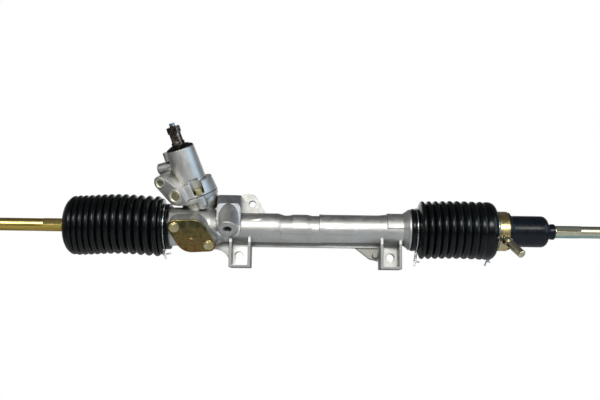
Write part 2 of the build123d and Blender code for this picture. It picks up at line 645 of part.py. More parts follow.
# Upper ball bearing: outer ring in the housing, inner ring and balls on the pinion
ball_circle_r = (BEARING_R + BEARING_BORE_R) / 2
race_outer_r = ball_circle_r + BALL_R * 0.6
race_inner_r = ball_circle_r - BALL_R * 0.6
bearing_middle = BEARING_START + BEARING_WIDTH / 2


def ball_track(radius):
    """Groove that a ball of the radius leaves round both rings."""
    with BuildSketch(Plane(origin=TOWER.origin, x_dir=TOWER.z_dir, z_dir=TOWER.y_dir)) as section:
        with Locations((bearing_middle, ball_circle_r)):
            Circle(radius)
    revolve(section.sketch, axis=Axis(TOWER.origin, TOWER.z_dir), mode=Mode.SUBTRACT)


with BuildPart() as bearing_outer_ring:
    ring(BEARING_START, BEARING_START + BEARING_WIDTH, BEARING_R, race_outer_r, TOWER)
    ball_track(BALL_R + RUN_GAP)
bearing_outer_ring.part.label = "bearing_outer_ring"

with BuildPart() as bearing_inner_ring:
    ring(BEARING_START, BEARING_START + BEARING_WIDTH, race_inner_r, BEARING_BORE_R, TOWER)
    ball_track(BALL_R + RUN_GAP)
bearing_inner_ring.part.label = "bearing_inner_ring"

with BuildPart() as bearing_balls:
    with Locations(TOWER.offset(bearing_middle)):
        with PolarLocations(ball_circle_r, BALL_COUNT):
            Sphere(BALL_R)
bearing_balls.part.label = "bearing_balls"

with BuildPart() as bearing_circlip:
    circlip_start = BEARING_START + BEARING_WIDTH
    ring(circlip_start, circlip_start + CIRCLIP_WIDTH, BEARING_R, BEARING_R - CIRCLIP_DEPTH, TOWER)
bearing_circlip.part.label = "bearing_circlip"

# Valve housing: the upper casting with the port block
PORT_HOLES = ((SMALL_PORT, SMALL_PORT_R, SMALL_PORT_DEPTH), (LARGE_PORT, LARGE_PORT_R, LARGE_PORT_DEPTH))

with BuildPart() as valve_housing:
    turned([(TOWER_TOP + GASKET, FLANGE_R), (VALVE_FLANGE_TOP, FLANGE_R - 2),
            (VALVE_FLANGE_TOP, VALVE_BASE_R), (VALVE_TOP, VALVE_TOP_R)], TOWER)
    with BuildSketch(PORTS):
        with Locations(SMALL_PORT):
            Circle(SMALL_PORT_BOSS_R)
        with Locations(LARGE_PORT):
            Circle(LARGE_PORT_BOSS_R)
        with Locations(PORT_CORNER):
            Circle(PORT_CORNER_R)
        make_hull()
    extrude(amount=-PORT_FACE)
    turned([(0, SIDE_BOSS_R), (SIDE_BOSS_REACH - 1, SIDE_BOSS_R), (SIDE_BOSS_REACH, SIDE_BOSS_R - 1)],
           SIDE_BOSS)
    rim_lug = TOWER.shift_origin(TOWER.from_local_coords((0, -RIM_LUG_REACH, 0)))
    rod(RIM_LUG_START, VALVE_TOP, RIM_LUG_R, rim_lug)
    for place, ring_r in ((SMALL_PORT, SMALL_PORT_RING_R), (LARGE_PORT, LARGE_PORT_RING_R)):
        port = PORTS.shift_origin(PORTS.from_local_coords((place[0], place[1], 0)))
        rod(-1, PORT_RING_PROUD, ring_r, port)
    # Flat underside, level with the gasket
    rod(0, TOWER_TOP + GASKET, FLANGE_R + 1, TOWER, Mode.SUBTRACT)
    turned([(TOWER_TOP, VALVE_BORE_R), (VALVE_BORE_TOP, VALVE_BORE_R), (VALVE_BORE_TOP, INPUT_BUSH_R),
            (INPUT_BUSH_START + INPUT_BUSH_LENGTH, INPUT_BUSH_R),
            (INPUT_BUSH_START + INPUT_BUSH_LENGTH, OIL_SEAL_R), (VALVE_TOP + 1, OIL_SEAL_R)],
           TOWER, Mode.SUBTRACT)
    for place, bore, depth in PORT_HOLES:
        port = PORTS.shift_origin(PORTS.from_local_coords((place[0], place[1], 0)))
        rod(-depth, PORT_RING_PROUD + 1, bore, port, Mode.SUBTRACT)
        turned([(PORT_RING_PROUD - PORT_MOUTH, bore), (PORT_RING_PROUD, bore + PORT_MOUTH),
                (PORT_RING_PROUD + 1, bore + PORT_MOUTH)], port, Mode.SUBTRACT)
        rod(-depth - PORT_PILOT_DEPTH, 1 - depth, bore * PORT_PILOT, port, Mode.SUBTRACT)
    for frame in tower_bolt_frames():
        rod(TOWER_TOP, TOWER_BOLT_SEAT, TOWER_BOLT_R, frame, Mode.SUBTRACT)
        rod(TOWER_BOLT_SEAT, VALVE_FLANGE_TOP + 4, SPOT_FACE_R, frame, Mode.SUBTRACT)
valve_housing.part.label = "valve_housing"

with BuildPart() as valve_housing_gasket:
    ring(TOWER_TOP, TOWER_TOP + GASKET, FLANGE_R, BEARING_R, TOWER)
    for frame in tower_bolt_frames():
        rod(TOWER_TOP, TOWER_TOP + GASKET, TOWER_BOLT_R, frame, Mode.SUBTRACT)
valve_housing_gasket.part.label = "valve_housing_gasket"

with BuildPart() as valve_housing_bolts:
    for frame in tower_bolt_frames():
        flange_bolt(frame, TOWER_BOLT_SEAT, TOWER_BOLT_LENGTH, TOWER_BOLT_R, TOWER_HEAD_AF,
                    TOWER_HEAD_HEIGHT)
valve_housing_bolts.part.label = "valve_housing_bolts"

with BuildPart() as port_seats:
    for place, bore, depth in PORT_HOLES:
        port = PORTS.shift_origin(PORTS.from_local_coords((place[0], place[1], 0)))
        pilot = bore * PORT_PILOT
        turned([(-depth - PORT_PILOT_DEPTH, pilot), (-depth - 2, pilot), (-depth, pilot * 0.6)], port)
        rod(-depth - PORT_PILOT_DEPTH, 1 - depth, pilot * 0.35, port, Mode.SUBTRACT)
port_seats.part.label = "port_seats"

# Rotary valve: sleeve on the pinion, with its seal rings
ring_step = (SLEEVE_END - COUPLING_END) / (SLEEVE_RINGS + 1)
ring_places = [COUPLING_END + ring_step * (number + 1) for number in range(SLEEVE_RINGS)]

with BuildPart() as valve_sleeve:
    ring(COUPLING_END, SLEEVE_END, SLEEVE_R, INPUT_R + RUN_GAP, TOWER)
    with BuildPart(mode=Mode.PRIVATE) as grooves:
        for place in ring_places:
            ring(place, place + SLEEVE_RING_WIDTH, SLEEVE_R + 1, SLEEVE_R - SLEEVE_RING_DEPTH, TOWER)
    add(grooves.part, mode=Mode.SUBTRACT)
valve_sleeve.part.label = "valve_sleeve"

with BuildPart() as valve_rings:
    for place in ring_places:
        ring(place, place + SLEEVE_RING_WIDTH, VALVE_BORE_R - RUN_GAP, SLEEVE_R - SLEEVE_RING_DEPTH, TOWER)
valve_rings.part.label = "valve_rings"

with BuildPart() as torsion_bar:
    rod(TORSION_START, TORSION_END, TORSION_R, TOWER)
torsion_bar.part.label = "torsion_bar"

with BuildPart() as input_shaft:
    turned([(INPUT_START, INPUT_R), (INPUT_GROOVE[0], INPUT_R), (INPUT_GROOVE[0], INPUT_GROOVE_R),
            (INPUT_GROOVE[1], INPUT_GROOVE_R), (INPUT_GROOVE[1] + SPLINE_DEPTH, INPUT_SPLINE_R),
            (INPUT_SPLINE_END - SPLINE_DEPTH, INPUT_SPLINE_R),
            (INPUT_SPLINE_END, INPUT_SPLINE_R - SPLINE_DEPTH), (INPUT_SPLINE_END, INPUT_STUB_R),
            (INPUT_END - 0.5, INPUT_STUB_R), (INPUT_END, INPUT_STUB_R - 0.5)], TOWER)
    with BuildSketch(TOWER.offset(INPUT_GROOVE[1])) as splines:
        with PolarLocations(INPUT_SPLINE_R, INPUT_SPLINES):
            RegularPolygon(SPLINE_DEPTH, 3, rotation=180)
    extrude(splines.sketch, amount=INPUT_SPLINE_END - INPUT_GROOVE[1], mode=Mode.SUBTRACT)
    rod(INPUT_START - 1, TORSION_END + 1, TORSION_BORE_R, TOWER, Mode.SUBTRACT)
input_shaft.part.label = "input_shaft"

with BuildPart() as input_bush:
    ring(INPUT_BUSH_START, INPUT_BUSH_START + INPUT_BUSH_LENGTH, INPUT_BUSH_R, INPUT_R + RUN_GAP, TOWER)
input_bush.part.label = "input_bush"

with BuildPart() as oil_seal:
    ring(INPUT_BUSH_START + INPUT_BUSH_LENGTH, VALVE_TOP, OIL_SEAL_R, INPUT_R + RUN_GAP, TOWER)
oil_seal.part.label = "oil_seal"

with BuildPart() as dust_seal:
    turned([(VALVE_TOP, DUST_SEAL_R), (VALVE_TOP + DUST_SEAL_HEIGHT / 3, DUST_SEAL_R),
            (VALVE_TOP + DUST_SEAL_HEIGHT, INPUT_R + 2)], TOWER)
    rod(VALVE_TOP, VALVE_TOP + DUST_SEAL_HEIGHT, INPUT_R + RUN_GAP, TOWER, Mode.SUBTRACT)
dust_seal.part.label = "dust_seal"

# Guide: yoke, spring, seal ring, cover and bolts
with BuildPart() as guide_yoke:
    rod(0, GUIDE_TOP, GUIDE_R - RUN_GAP, GUIDE)
    rod(-2 * TRAVEL + GUIDE_X, 2 * TRAVEL + GUIDE_X, RACK_R + RUN_GAP, mode=Mode.SUBTRACT)
    rod(GUIDE_POCKET, GUIDE_TOP + 1, GUIDE_SPRING_R + GUIDE_SPRING_WIRE + SHELL_GAP, GUIDE, Mode.SUBTRACT)
    ring_cut = GUIDE_TOP - 6
    with BuildPart(mode=Mode.PRIVATE) as seal_groove:
        ring(ring_cut, ring_cut + 2.4, GUIDE_R + 1, GUIDE_R - 2, GUIDE)
    add(seal_groove.part, mode=Mode.SUBTRACT)
guide_yoke.part.label = "guide_yoke"

with BuildPart() as guide_seal_ring:
    ring(ring_cut, ring_cut + 2.4, GUIDE_R, GUIDE_R - 2, GUIDE)
guide_seal_ring.part.label = "guide_seal_ring"

spring_height = GUIDE_FACE - GUIDE_POCKET - 2 * GUIDE_SPRING_WIRE
with BuildPart() as guide_spring:
    coil_frame = GUIDE.offset(GUIDE_POCKET + GUIDE_SPRING_WIRE)
    coil = coil_frame.from_local_coords(Helix(spring_height / 4, spring_height, GUIDE_SPRING_R))
    with BuildSketch(Plane(origin=coil @ 0, z_dir=coil % 0)):
        Circle(GUIDE_SPRING_WIRE)
    sweep(path=coil)
guide_spring.part.label = "guide_spring"

with BuildPart() as guide_cover:
    with BuildSketch(GUIDE.offset(GUIDE_FACE)) as plate:
        add(cover_outline())
    extrude(plate.sketch, amount=COVER_THICKNESS - COVER_EDGE)
    with BuildSketch(GUIDE.offset(GUIDE_FACE + COVER_THICKNESS - COVER_EDGE)) as top:
        add(cover_outline())
    extrude(top.sketch, amount=COVER_EDGE, taper=45)
    rod(GUIDE_FACE + COVER_THICKNESS / 2, GUIDE_FACE + COVER_THICKNESS + 1, COVER_DIMPLE_R, GUIDE,
        Mode.SUBTRACT)
    for frame in cover_bolt_frames():
        rod(GUIDE_FACE - 1, GUIDE_FACE + COVER_THICKNESS + 1, COVER_BOLT_R, frame, Mode.SUBTRACT)
guide_cover.part.label = "guide_cover"

with BuildPart() as guide_cover_bolts:
    for frame in cover_bolt_frames():
        flange_bolt(frame, GUIDE_FACE + COVER_THICKNESS, COVER_BOLT_LENGTH, COVER_BOLT_R, COVER_HEAD_AF,
                    COVER_HEAD_AF * 0.55)
guide_cover_bolts.part.label = "guide_cover_bolts"

with BuildPart() as rack_bush:
    ring(BUSH_START, BUSH_START + BUSH_LENGTH, BUSH_R, RACK_R + RUN_GAP)
rack_bush.part.label = "rack_bush"


def ball_housing(frame, outer_r, back):
    """Cup of an inner ball joint: its mouth looks along the frame's Z and its threaded end looks back."""
    turned([(-back, outer_r - 1), (-back + 1, outer_r), (JOINT_MOUTH - 3, outer_r),
            (JOINT_MOUTH, outer_r - 2.5)], frame)
    rod(-back - WASHER - STUD_THREAD_LENGTH, -back, STUD_THREAD_R, frame)
    cup_r = SEAT_R + RUN_GAP
    with BuildPart(mode=Mode.PRIVATE) as cup:
        with Locations(frame):
            Sphere(cup_r)
    add(cup.part, mode=Mode.SUBTRACT)
    lip = sqrt(cup_r ** 2 - LIP_R ** 2)
    turned([(lip - 1, LIP_R), (lip, LIP_R), (JOINT_MOUTH + 1, MOUTH_R)], frame, Mode.SUBTRACT)


def ball_seat(frame):
    """Spherical liner between the ball and its cup, open towards the rod and behind."""
    with Locations(frame):
        Sphere(SEAT_R)
    with BuildPart(mode=Mode.PRIVATE) as ball:
        with Locations(frame):
            Sphere(BALL_JOINT_R + RUN_GAP)
    add(ball.part, mode=Mode.SUBTRACT)
    rod(SEAT_FRONT, SEAT_R + 1, SEAT_R + 1, frame, Mode.SUBTRACT)
    rod(-SEAT_R - 1, -SEAT_BACK, SEAT_R + 1, frame, Mode.SUBTRACT)


def tie_rod(frame, radius, thread_r, end, hex_start, hex_end, hex_af):
    """Ball, neck, round bar with a spanner hexagon, and the threaded end, along the frame's Z."""
    with Locations(frame):
        Sphere(BALL_JOINT_R)
    turned([(BALL_JOINT_R * 0.5, ROD_NECK_R), (ROD_NECK, ROD_NECK_R), (ROD_NECK + 3, radius),
            (hex_start, radius)], frame)
    hexagon(hex_start, hex_end, hex_af, frame)
    rod(hex_end, end - THREAD_LENGTH, radius, frame)
    nut_face = end - NUT_SETBACK
    turned([(end - THREAD_LENGTH, thread_r + NUT_STEP), (nut_face, thread_r + NUT_STEP),
            (nut_face, thread_r - THREAD_GROOVE[1]), (nut_face + THREAD_GROOVE[0], thread_r - THREAD_GROOVE[1]),
            (nut_face + THREAD_GROOVE[0], thread_r), (end - THREAD_CHAMFER, thread_r),
            (end, thread_r - THREAD_CHAMFER)], frame)


def lock_nut(frame, thread_r, end):
    """Hexagon nut on a tie rod's thread."""
    hexagon(end - NUT_SETBACK - NUT_WIDTH, end - NUT_SETBACK, NUT_AF, frame)
    rod(end - NUT_SETBACK - NUT_WIDTH - 1, end, thread_r + NUT_STEP, frame, Mode.SUBTRACT)


left_back = RACK_LEFT - WASHER - LEFT_BALL_X
with BuildPart() as left_ball_housing:
    ball_housing(LEFT_JOINT, LEFT_BALL_HOUSING_R, left_back)
left_ball_housing.part.label = "left_ball_housing"

with BuildPart() as left_lock_washer:
    ring(RACK_LEFT - WASHER, RACK_LEFT, RACK_R + 3, STUD_THREAD_R)
left_lock_washer.part.label = "left_lock_washer"

with BuildPart() as left_ball_seat:
    ball_seat(LEFT_JOINT)
left_ball_seat.part.label = "left_ball_seat"

with BuildPart() as left_tie_rod:
    tie_rod(LEFT_JOINT, LEFT_ROD_R, LEFT_THREAD_R, LEFT_BALL_X - LEFT_ROD_END, LEFT_BALL_X - LEFT_HEX[1],
            LEFT_BALL_X - LEFT_HEX[0], LEFT_HEX_AF)
left_tie_rod.part.label = "left_tie_rod"

with BuildPart() as left_lock_nut:
    lock_nut(LEFT_JOINT, LEFT_THREAD_R, LEFT_BALL_X - LEFT_ROD_END)
left_lock_nut.part.label = "left_lock_nut"

right_back = RIGHT_BALL_X - RACK_RIGHT - WASHER
with BuildPart() as right_ball_housing:
    ball_housing(RIGHT_JOINT, RIGHT_BALL_HOUSING_R, right_back)
right_ball_housing.part.label = "right_ball_housing"

with BuildPart() as right_lock_washer:
    ring(RACK_RIGHT, RACK_RIGHT + WASHER, RACK_R + 3, STUD_THREAD_R)
right_lock_washer.part.label = "right_lock_washer"

with BuildPart() as right_ball_seat:
    ball_seat(RIGHT_JOINT)
right_ball_seat.part.label = "right_ball_seat"

with BuildPart() as right_tie_rod:
    tie_rod(RIGHT_JOINT, RIGHT_ROD_R, RIGHT_THREAD_R, RIGHT_ROD_END - RIGHT_BALL_X,
            RIGHT_HEX[0] - RIGHT_BALL_X, RIGHT_HEX[1] - RIGHT_BALL_X, RIGHT_HEX_AF)
right_tie_rod.part.label = "right_tie_rod"

with BuildPart() as right_lock_nut:
    lock_nut(RIGHT_JOINT, RIGHT_THREAD_R, RIGHT_ROD_END - RIGHT_BALL_X)
right_lock_nut.part.label = "right_lock_nut"

# Ram collar on the rack's right end, with the stud that the ram's rod bolts to
with BuildPart() as ram_collar:
    turned([(SPIGOT_START, SPIGOT_R), (COLLAR[0], SPIGOT_R), (COLLAR[0], COLLAR_R - COLLAR_CHAMFER),
            (COLLAR[0] + COLLAR_CHAMFER, COLLAR_R), (COLLAR[1] - COLLAR_CHAMFER, COLLAR_R),
            (COLLAR[1], COLLAR_R - COLLAR_CHAMFER)])
    rod(SPIGOT_START - 1, COLLAR[1] + 1, RACK_R, mode=Mode.SUBTRACT)
    rod(0, STUD_LENGTH, STUD_R, STUD, Mode.SUBTRACT)
    rod(STUD_COLLAR[0], STUD_LENGTH, STUD_COLLAR_R, STUD, Mode.SUBTRACT)
ram_collar.part.label = "ram_collar"

with BuildPart() as ram_stud:
    turned([(0, STUD_R), (STUD_COLLAR[0], STUD_R), (STUD_COLLAR[0], STUD_COLLAR_R),
            (STUD_COLLAR[1], STUD_COLLAR_R), (STUD_COLLAR[1], STUD_GROOVE_R),
            (STUD_COLLAR[1] + 2, STUD_GROOVE_R), (STUD_COLLAR[1] + 2, STUD_R), (STUD_LENGTH - 1, STUD_R),
            (STUD_LENGTH, STUD_R - 1)], STUD)
ram_stud.part.label = "ram_stud"

with BuildPart() as right_joint_boot:
    turned([(COLLAR[1] + SOFT_GAP, BOOT_LIP_R), (COLLAR[1] + 1.5, BOOT_LIP_R), (COLLAR[1] + 5, BOOT_R),
            (BOOT_BODY_END - BOOT_SHOULDER, BOOT_R), (BOOT_BODY_END - BOOT_SHOULDER * 0.3, BOOT_R - 2.5),
            (BOOT_BODY_END, BOOT_NECK_R + 2), (BOOT_BODY_END, BOOT_NECK_R), (BOOT_END, BOOT_NECK_R)])
    turned([(COLLAR[1], BOOT_R - BOOT_WALL), (BOOT_BODY_END - BOOT_SHOULDER, BOOT_R - BOOT_WALL),
            (BOOT_BODY_END - BOOT_WALL, BOOT_NECK_R), (BOOT_BODY_END - BOOT_WALL, RIGHT_ROD_R + SOFT_GAP),
            (BOOT_END + 1, RIGHT_ROD_R + SOFT_GAP)], mode=Mode.SUBTRACT)
right_joint_boot.part.label = "right_joint_boot"


def ridges(start, pitch, count, ridge_r, valley_r):
    """Stations of bellows ridges, each with a narrow crest, and the valleys between them."""
    stations = []
    for number in range(count):
        crest = start + number * pitch
        stations += [(crest - pitch * 0.1, ridge_r), (crest + pitch * 0.1, ridge_r)]
        if number < count - 1:
            stations.append((crest + pitch / 2, valley_r))
    return stations


# Left bellows: closed round the tie rod, and clipped to the housing's neck
left_last = LEFT_RIDGE_START + (LEFT_RIDGES - 1) * LEFT_RIDGE_PITCH
with BuildPart() as left_bellows:
    turned([(LEFT_TIP, LEFT_TIP_R), (LEFT_TIP + 3, LEFT_TIP_R), (LEFT_TIP + 4, LEFT_TIP_R + 4),
            (LEFT_TIP + 8, LEFT_VALLEY_R)]
           + ridges(LEFT_RIDGE_START, LEFT_RIDGE_PITCH, LEFT_RIDGES, LEFT_RIDGE_R, LEFT_VALLEY_R)
           + [(left_last + 5, LEFT_VALLEY_R), (left_last + 9, LEFT_RIDGE_R - 0.6),
              (left_last + 11, LEFT_RIDGE_R - 0.6), (left_last + 14.5, LEFT_VALLEY_R - 1),
              (left_last + 17.5, LEFT_VALLEY_R + 1.5), (left_last + 19.5, LEFT_CUFF_R),
              (LEFT_CUFF[1], LEFT_CUFF_R)])
    turned([(LEFT_TIP - 1, LEFT_ROD_R + SOFT_GAP), (LEFT_TIP + 4, LEFT_ROD_R + SOFT_GAP),
            (LEFT_TIP + 5.5, LEFT_ROD_R + 4.5), (LEFT_TIP + 9.5, LEFT_VALLEY_R - BELLOWS_WALL),
            (LEFT_END - 2, LEFT_VALLEY_R - BELLOWS_WALL - 1),
            (LEFT_END - 0.5, NECK_R + SOFT_GAP), (LEFT_CUFF[1] + 1, NECK_R + SOFT_GAP)], mode=Mode.SUBTRACT)
left_bellows.part.label = "left_bellows"

# Right bellows: clipped to the housing's right end and to the ram collar's spigot
right_last = RIGHT_RIDGE_START + (RIGHT_RIDGES - 1) * RIGHT_RIDGE_PITCH
with BuildPart() as right_bellows:
    turned([(RIGHT_CUFF[0], RIGHT_CUFF_R), (RIGHT_CUFF[1], RIGHT_CUFF_R),
            (RIGHT_CUFF[1] + 2, RIGHT_VALLEY_R)]
           + ridges(RIGHT_RIDGE_START, RIGHT_RIDGE_PITCH, RIGHT_RIDGES, RIGHT_RIDGE_R, RIGHT_VALLEY_R)
           + [(right_last + 5.5, RIGHT_RIDGE_R - 3), (right_last + 8.5, RIGHT_RIDGE_R - 8),
              (right_last + 8.8, RIGHT_TIP_R), (COLLAR[0] - SOFT_GAP, RIGHT_TIP_R)])
    turned([(RIGHT_CUFF[0] - 1, RIGHT_NECK_R + SOFT_GAP), (RIGHT_END + 0.5, RIGHT_NECK_R + SOFT_GAP),
            (RIGHT_END + 3, RIGHT_VALLEY_R - BELLOWS_WALL), (right_last + 3, RIGHT_VALLEY_R - BELLOWS_WALL),
            (right_last + 5.5, SPIGOT_R + SOFT_GAP), (COLLAR[0], SPIGOT_R + SOFT_GAP)], mode=Mode.SUBTRACT)
right_bellows.part.label = "right_bellows"


def wire_clip(place, cuff_r):
    """Soft wire wound round a bellows cuff, side by side turns."""
    for turn in range(CLIP_TURNS):
        middle = place + (turn - (CLIP_TURNS - 1) / 2) * 2 * WIRE_R
        ring(middle - WIRE_R, middle + WIRE_R, cuff_r + SOFT_GAP + 2 * WIRE_R, cuff_r + SOFT_GAP)


with BuildPart() as left_bellows_wire:
    wire_clip(LEFT_WIRE_X, LEFT_CUFF_R)
left_bellows_wire.part.label = "left_bellows_wire"

with BuildPart() as left_bellows_clip:
    ring(LEFT_TIP + 0.5, LEFT_TIP + 2.5, LEFT_TIP_R + SOFT_GAP + 1, LEFT_TIP_R + SOFT_GAP)
left_bellows_clip.part.label = "left_bellows_clip"

with BuildPart() as right_bellows_inner_wire:
    wire_clip(RIGHT_CUFF[1] - 2.2, RIGHT_CUFF_R)
right_bellows_inner_wire.part.label = "right_bellows_inner_wire"

with BuildPart() as right_bellows_outer_wire:
    ring(COLLAR[0] - 2.4, COLLAR[0] - 0.8, RIGHT_TIP_R + SOFT_GAP + 1.4, RIGHT_TIP_R + SOFT_GAP)
right_bellows_outer_wire.part.label = "right_bellows_outer_wire"

os.makedirs("parts", exist_ok=True)
PIECES = [
    rack_housing, rack_bar, pinion, pinion_lower_bush, bearing_outer_ring, bearing_inner_ring, bearing_balls,
    bearing_circlip, valve_housing, valve_housing_gasket, valve_housing_bolts, port_seats, valve_sleeve,
    valve_rings, torsion_bar, input_shaft, input_bush, oil_seal, dust_seal, guide_yoke, guide_seal_ring,
    guide_spring, guide_cover, guide_cover_bolts, rack_bush, left_ball_housing, left_lock_washer,
    left_ball_seat, left_tie_rod, left_lock_nut, right_ball_housing, right_lock_washer, right_ball_seat,
    right_tie_rod, right_lock_nut, ram_collar, ram_stud, right_joint_boot, left_bellows, right_bellows,
    left_bellows_wire, left_bellows_clip, right_bellows_inner_wire, right_bellows_outer_wire]
for piece in PIECES:
    export_step(piece.part, "parts/" + piece.part.label + ".step")
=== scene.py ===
import json
import math

import bmesh
import bpy
from mathutils import Matrix, Vector


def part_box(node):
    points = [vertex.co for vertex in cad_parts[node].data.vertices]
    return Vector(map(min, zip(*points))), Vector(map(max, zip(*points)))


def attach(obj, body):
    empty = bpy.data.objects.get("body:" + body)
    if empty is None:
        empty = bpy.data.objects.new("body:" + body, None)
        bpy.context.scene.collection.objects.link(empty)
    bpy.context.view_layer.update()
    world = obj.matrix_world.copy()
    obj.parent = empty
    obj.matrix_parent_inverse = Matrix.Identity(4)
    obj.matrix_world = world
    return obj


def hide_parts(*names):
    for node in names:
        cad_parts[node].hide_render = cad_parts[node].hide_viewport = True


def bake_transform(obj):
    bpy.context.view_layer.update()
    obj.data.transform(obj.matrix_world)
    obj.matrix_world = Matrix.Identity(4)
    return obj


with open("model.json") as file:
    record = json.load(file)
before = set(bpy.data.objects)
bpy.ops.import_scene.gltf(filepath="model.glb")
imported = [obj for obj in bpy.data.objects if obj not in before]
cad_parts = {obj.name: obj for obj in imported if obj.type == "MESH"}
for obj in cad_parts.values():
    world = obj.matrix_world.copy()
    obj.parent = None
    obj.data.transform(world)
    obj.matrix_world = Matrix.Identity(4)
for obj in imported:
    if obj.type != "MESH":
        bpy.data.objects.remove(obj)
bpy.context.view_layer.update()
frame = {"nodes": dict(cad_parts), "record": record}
nodes = frame["nodes"]

# The rack axis, in metres, from the bar itself
bar_low, bar_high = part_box("rack_bar")
AXIS_Y = (bar_low.y + bar_high.y) / 2
AXIS_Z = (bar_low.z + bar_high.z) / 2
MM = 0.001


# Camera

CAMERA_X = -19.4 * MM            # place along the rack that is in the middle of the picture
CAMERA_RISE = 35.4 * MM          # rack axis below the middle of the picture
CAMERA_DISTANCE = 1.0
CAMERA_ELEVATION = math.radians(-7.0)
CAMERA_ROLL = math.radians(0.83)
CAMERA_LENS = 48.0
CAMERA_SENSOR = 36.0


def make_camera():
    """Camera at the photograph's angle, a little below the rack and rolled against it."""
    ahead = Vector((0, math.cos(CAMERA_ELEVATION), -math.sin(CAMERA_ELEVATION)))
    level_up = Vector((0, math.sin(CAMERA_ELEVATION), math.cos(CAMERA_ELEVATION)))
    right = Vector((math.cos(CAMERA_ROLL), 0, 0)) + level_up * math.sin(CAMERA_ROLL)
    up = level_up * math.cos(CAMERA_ROLL) - Vector((math.sin(CAMERA_ROLL), 0, 0))
    target = Vector((CAMERA_X, AXIS_Y, AXIS_Z)) + level_up * CAMERA_RISE
    data = bpy.data.cameras.new("camera")
    data.lens = CAMERA_LENS
    data.sensor_width = CAMERA_SENSOR
    camera = bpy.data.objects.new("camera", data)
    turn = Matrix((right, up, -ahead)).transposed().to_4x4()
    camera.matrix_world = Matrix.Translation(target - ahead * CAMERA_DISTANCE) @ turn
    bpy.context.scene.collection.objects.link(camera)
    bpy.context.scene.camera = camera


# Materials

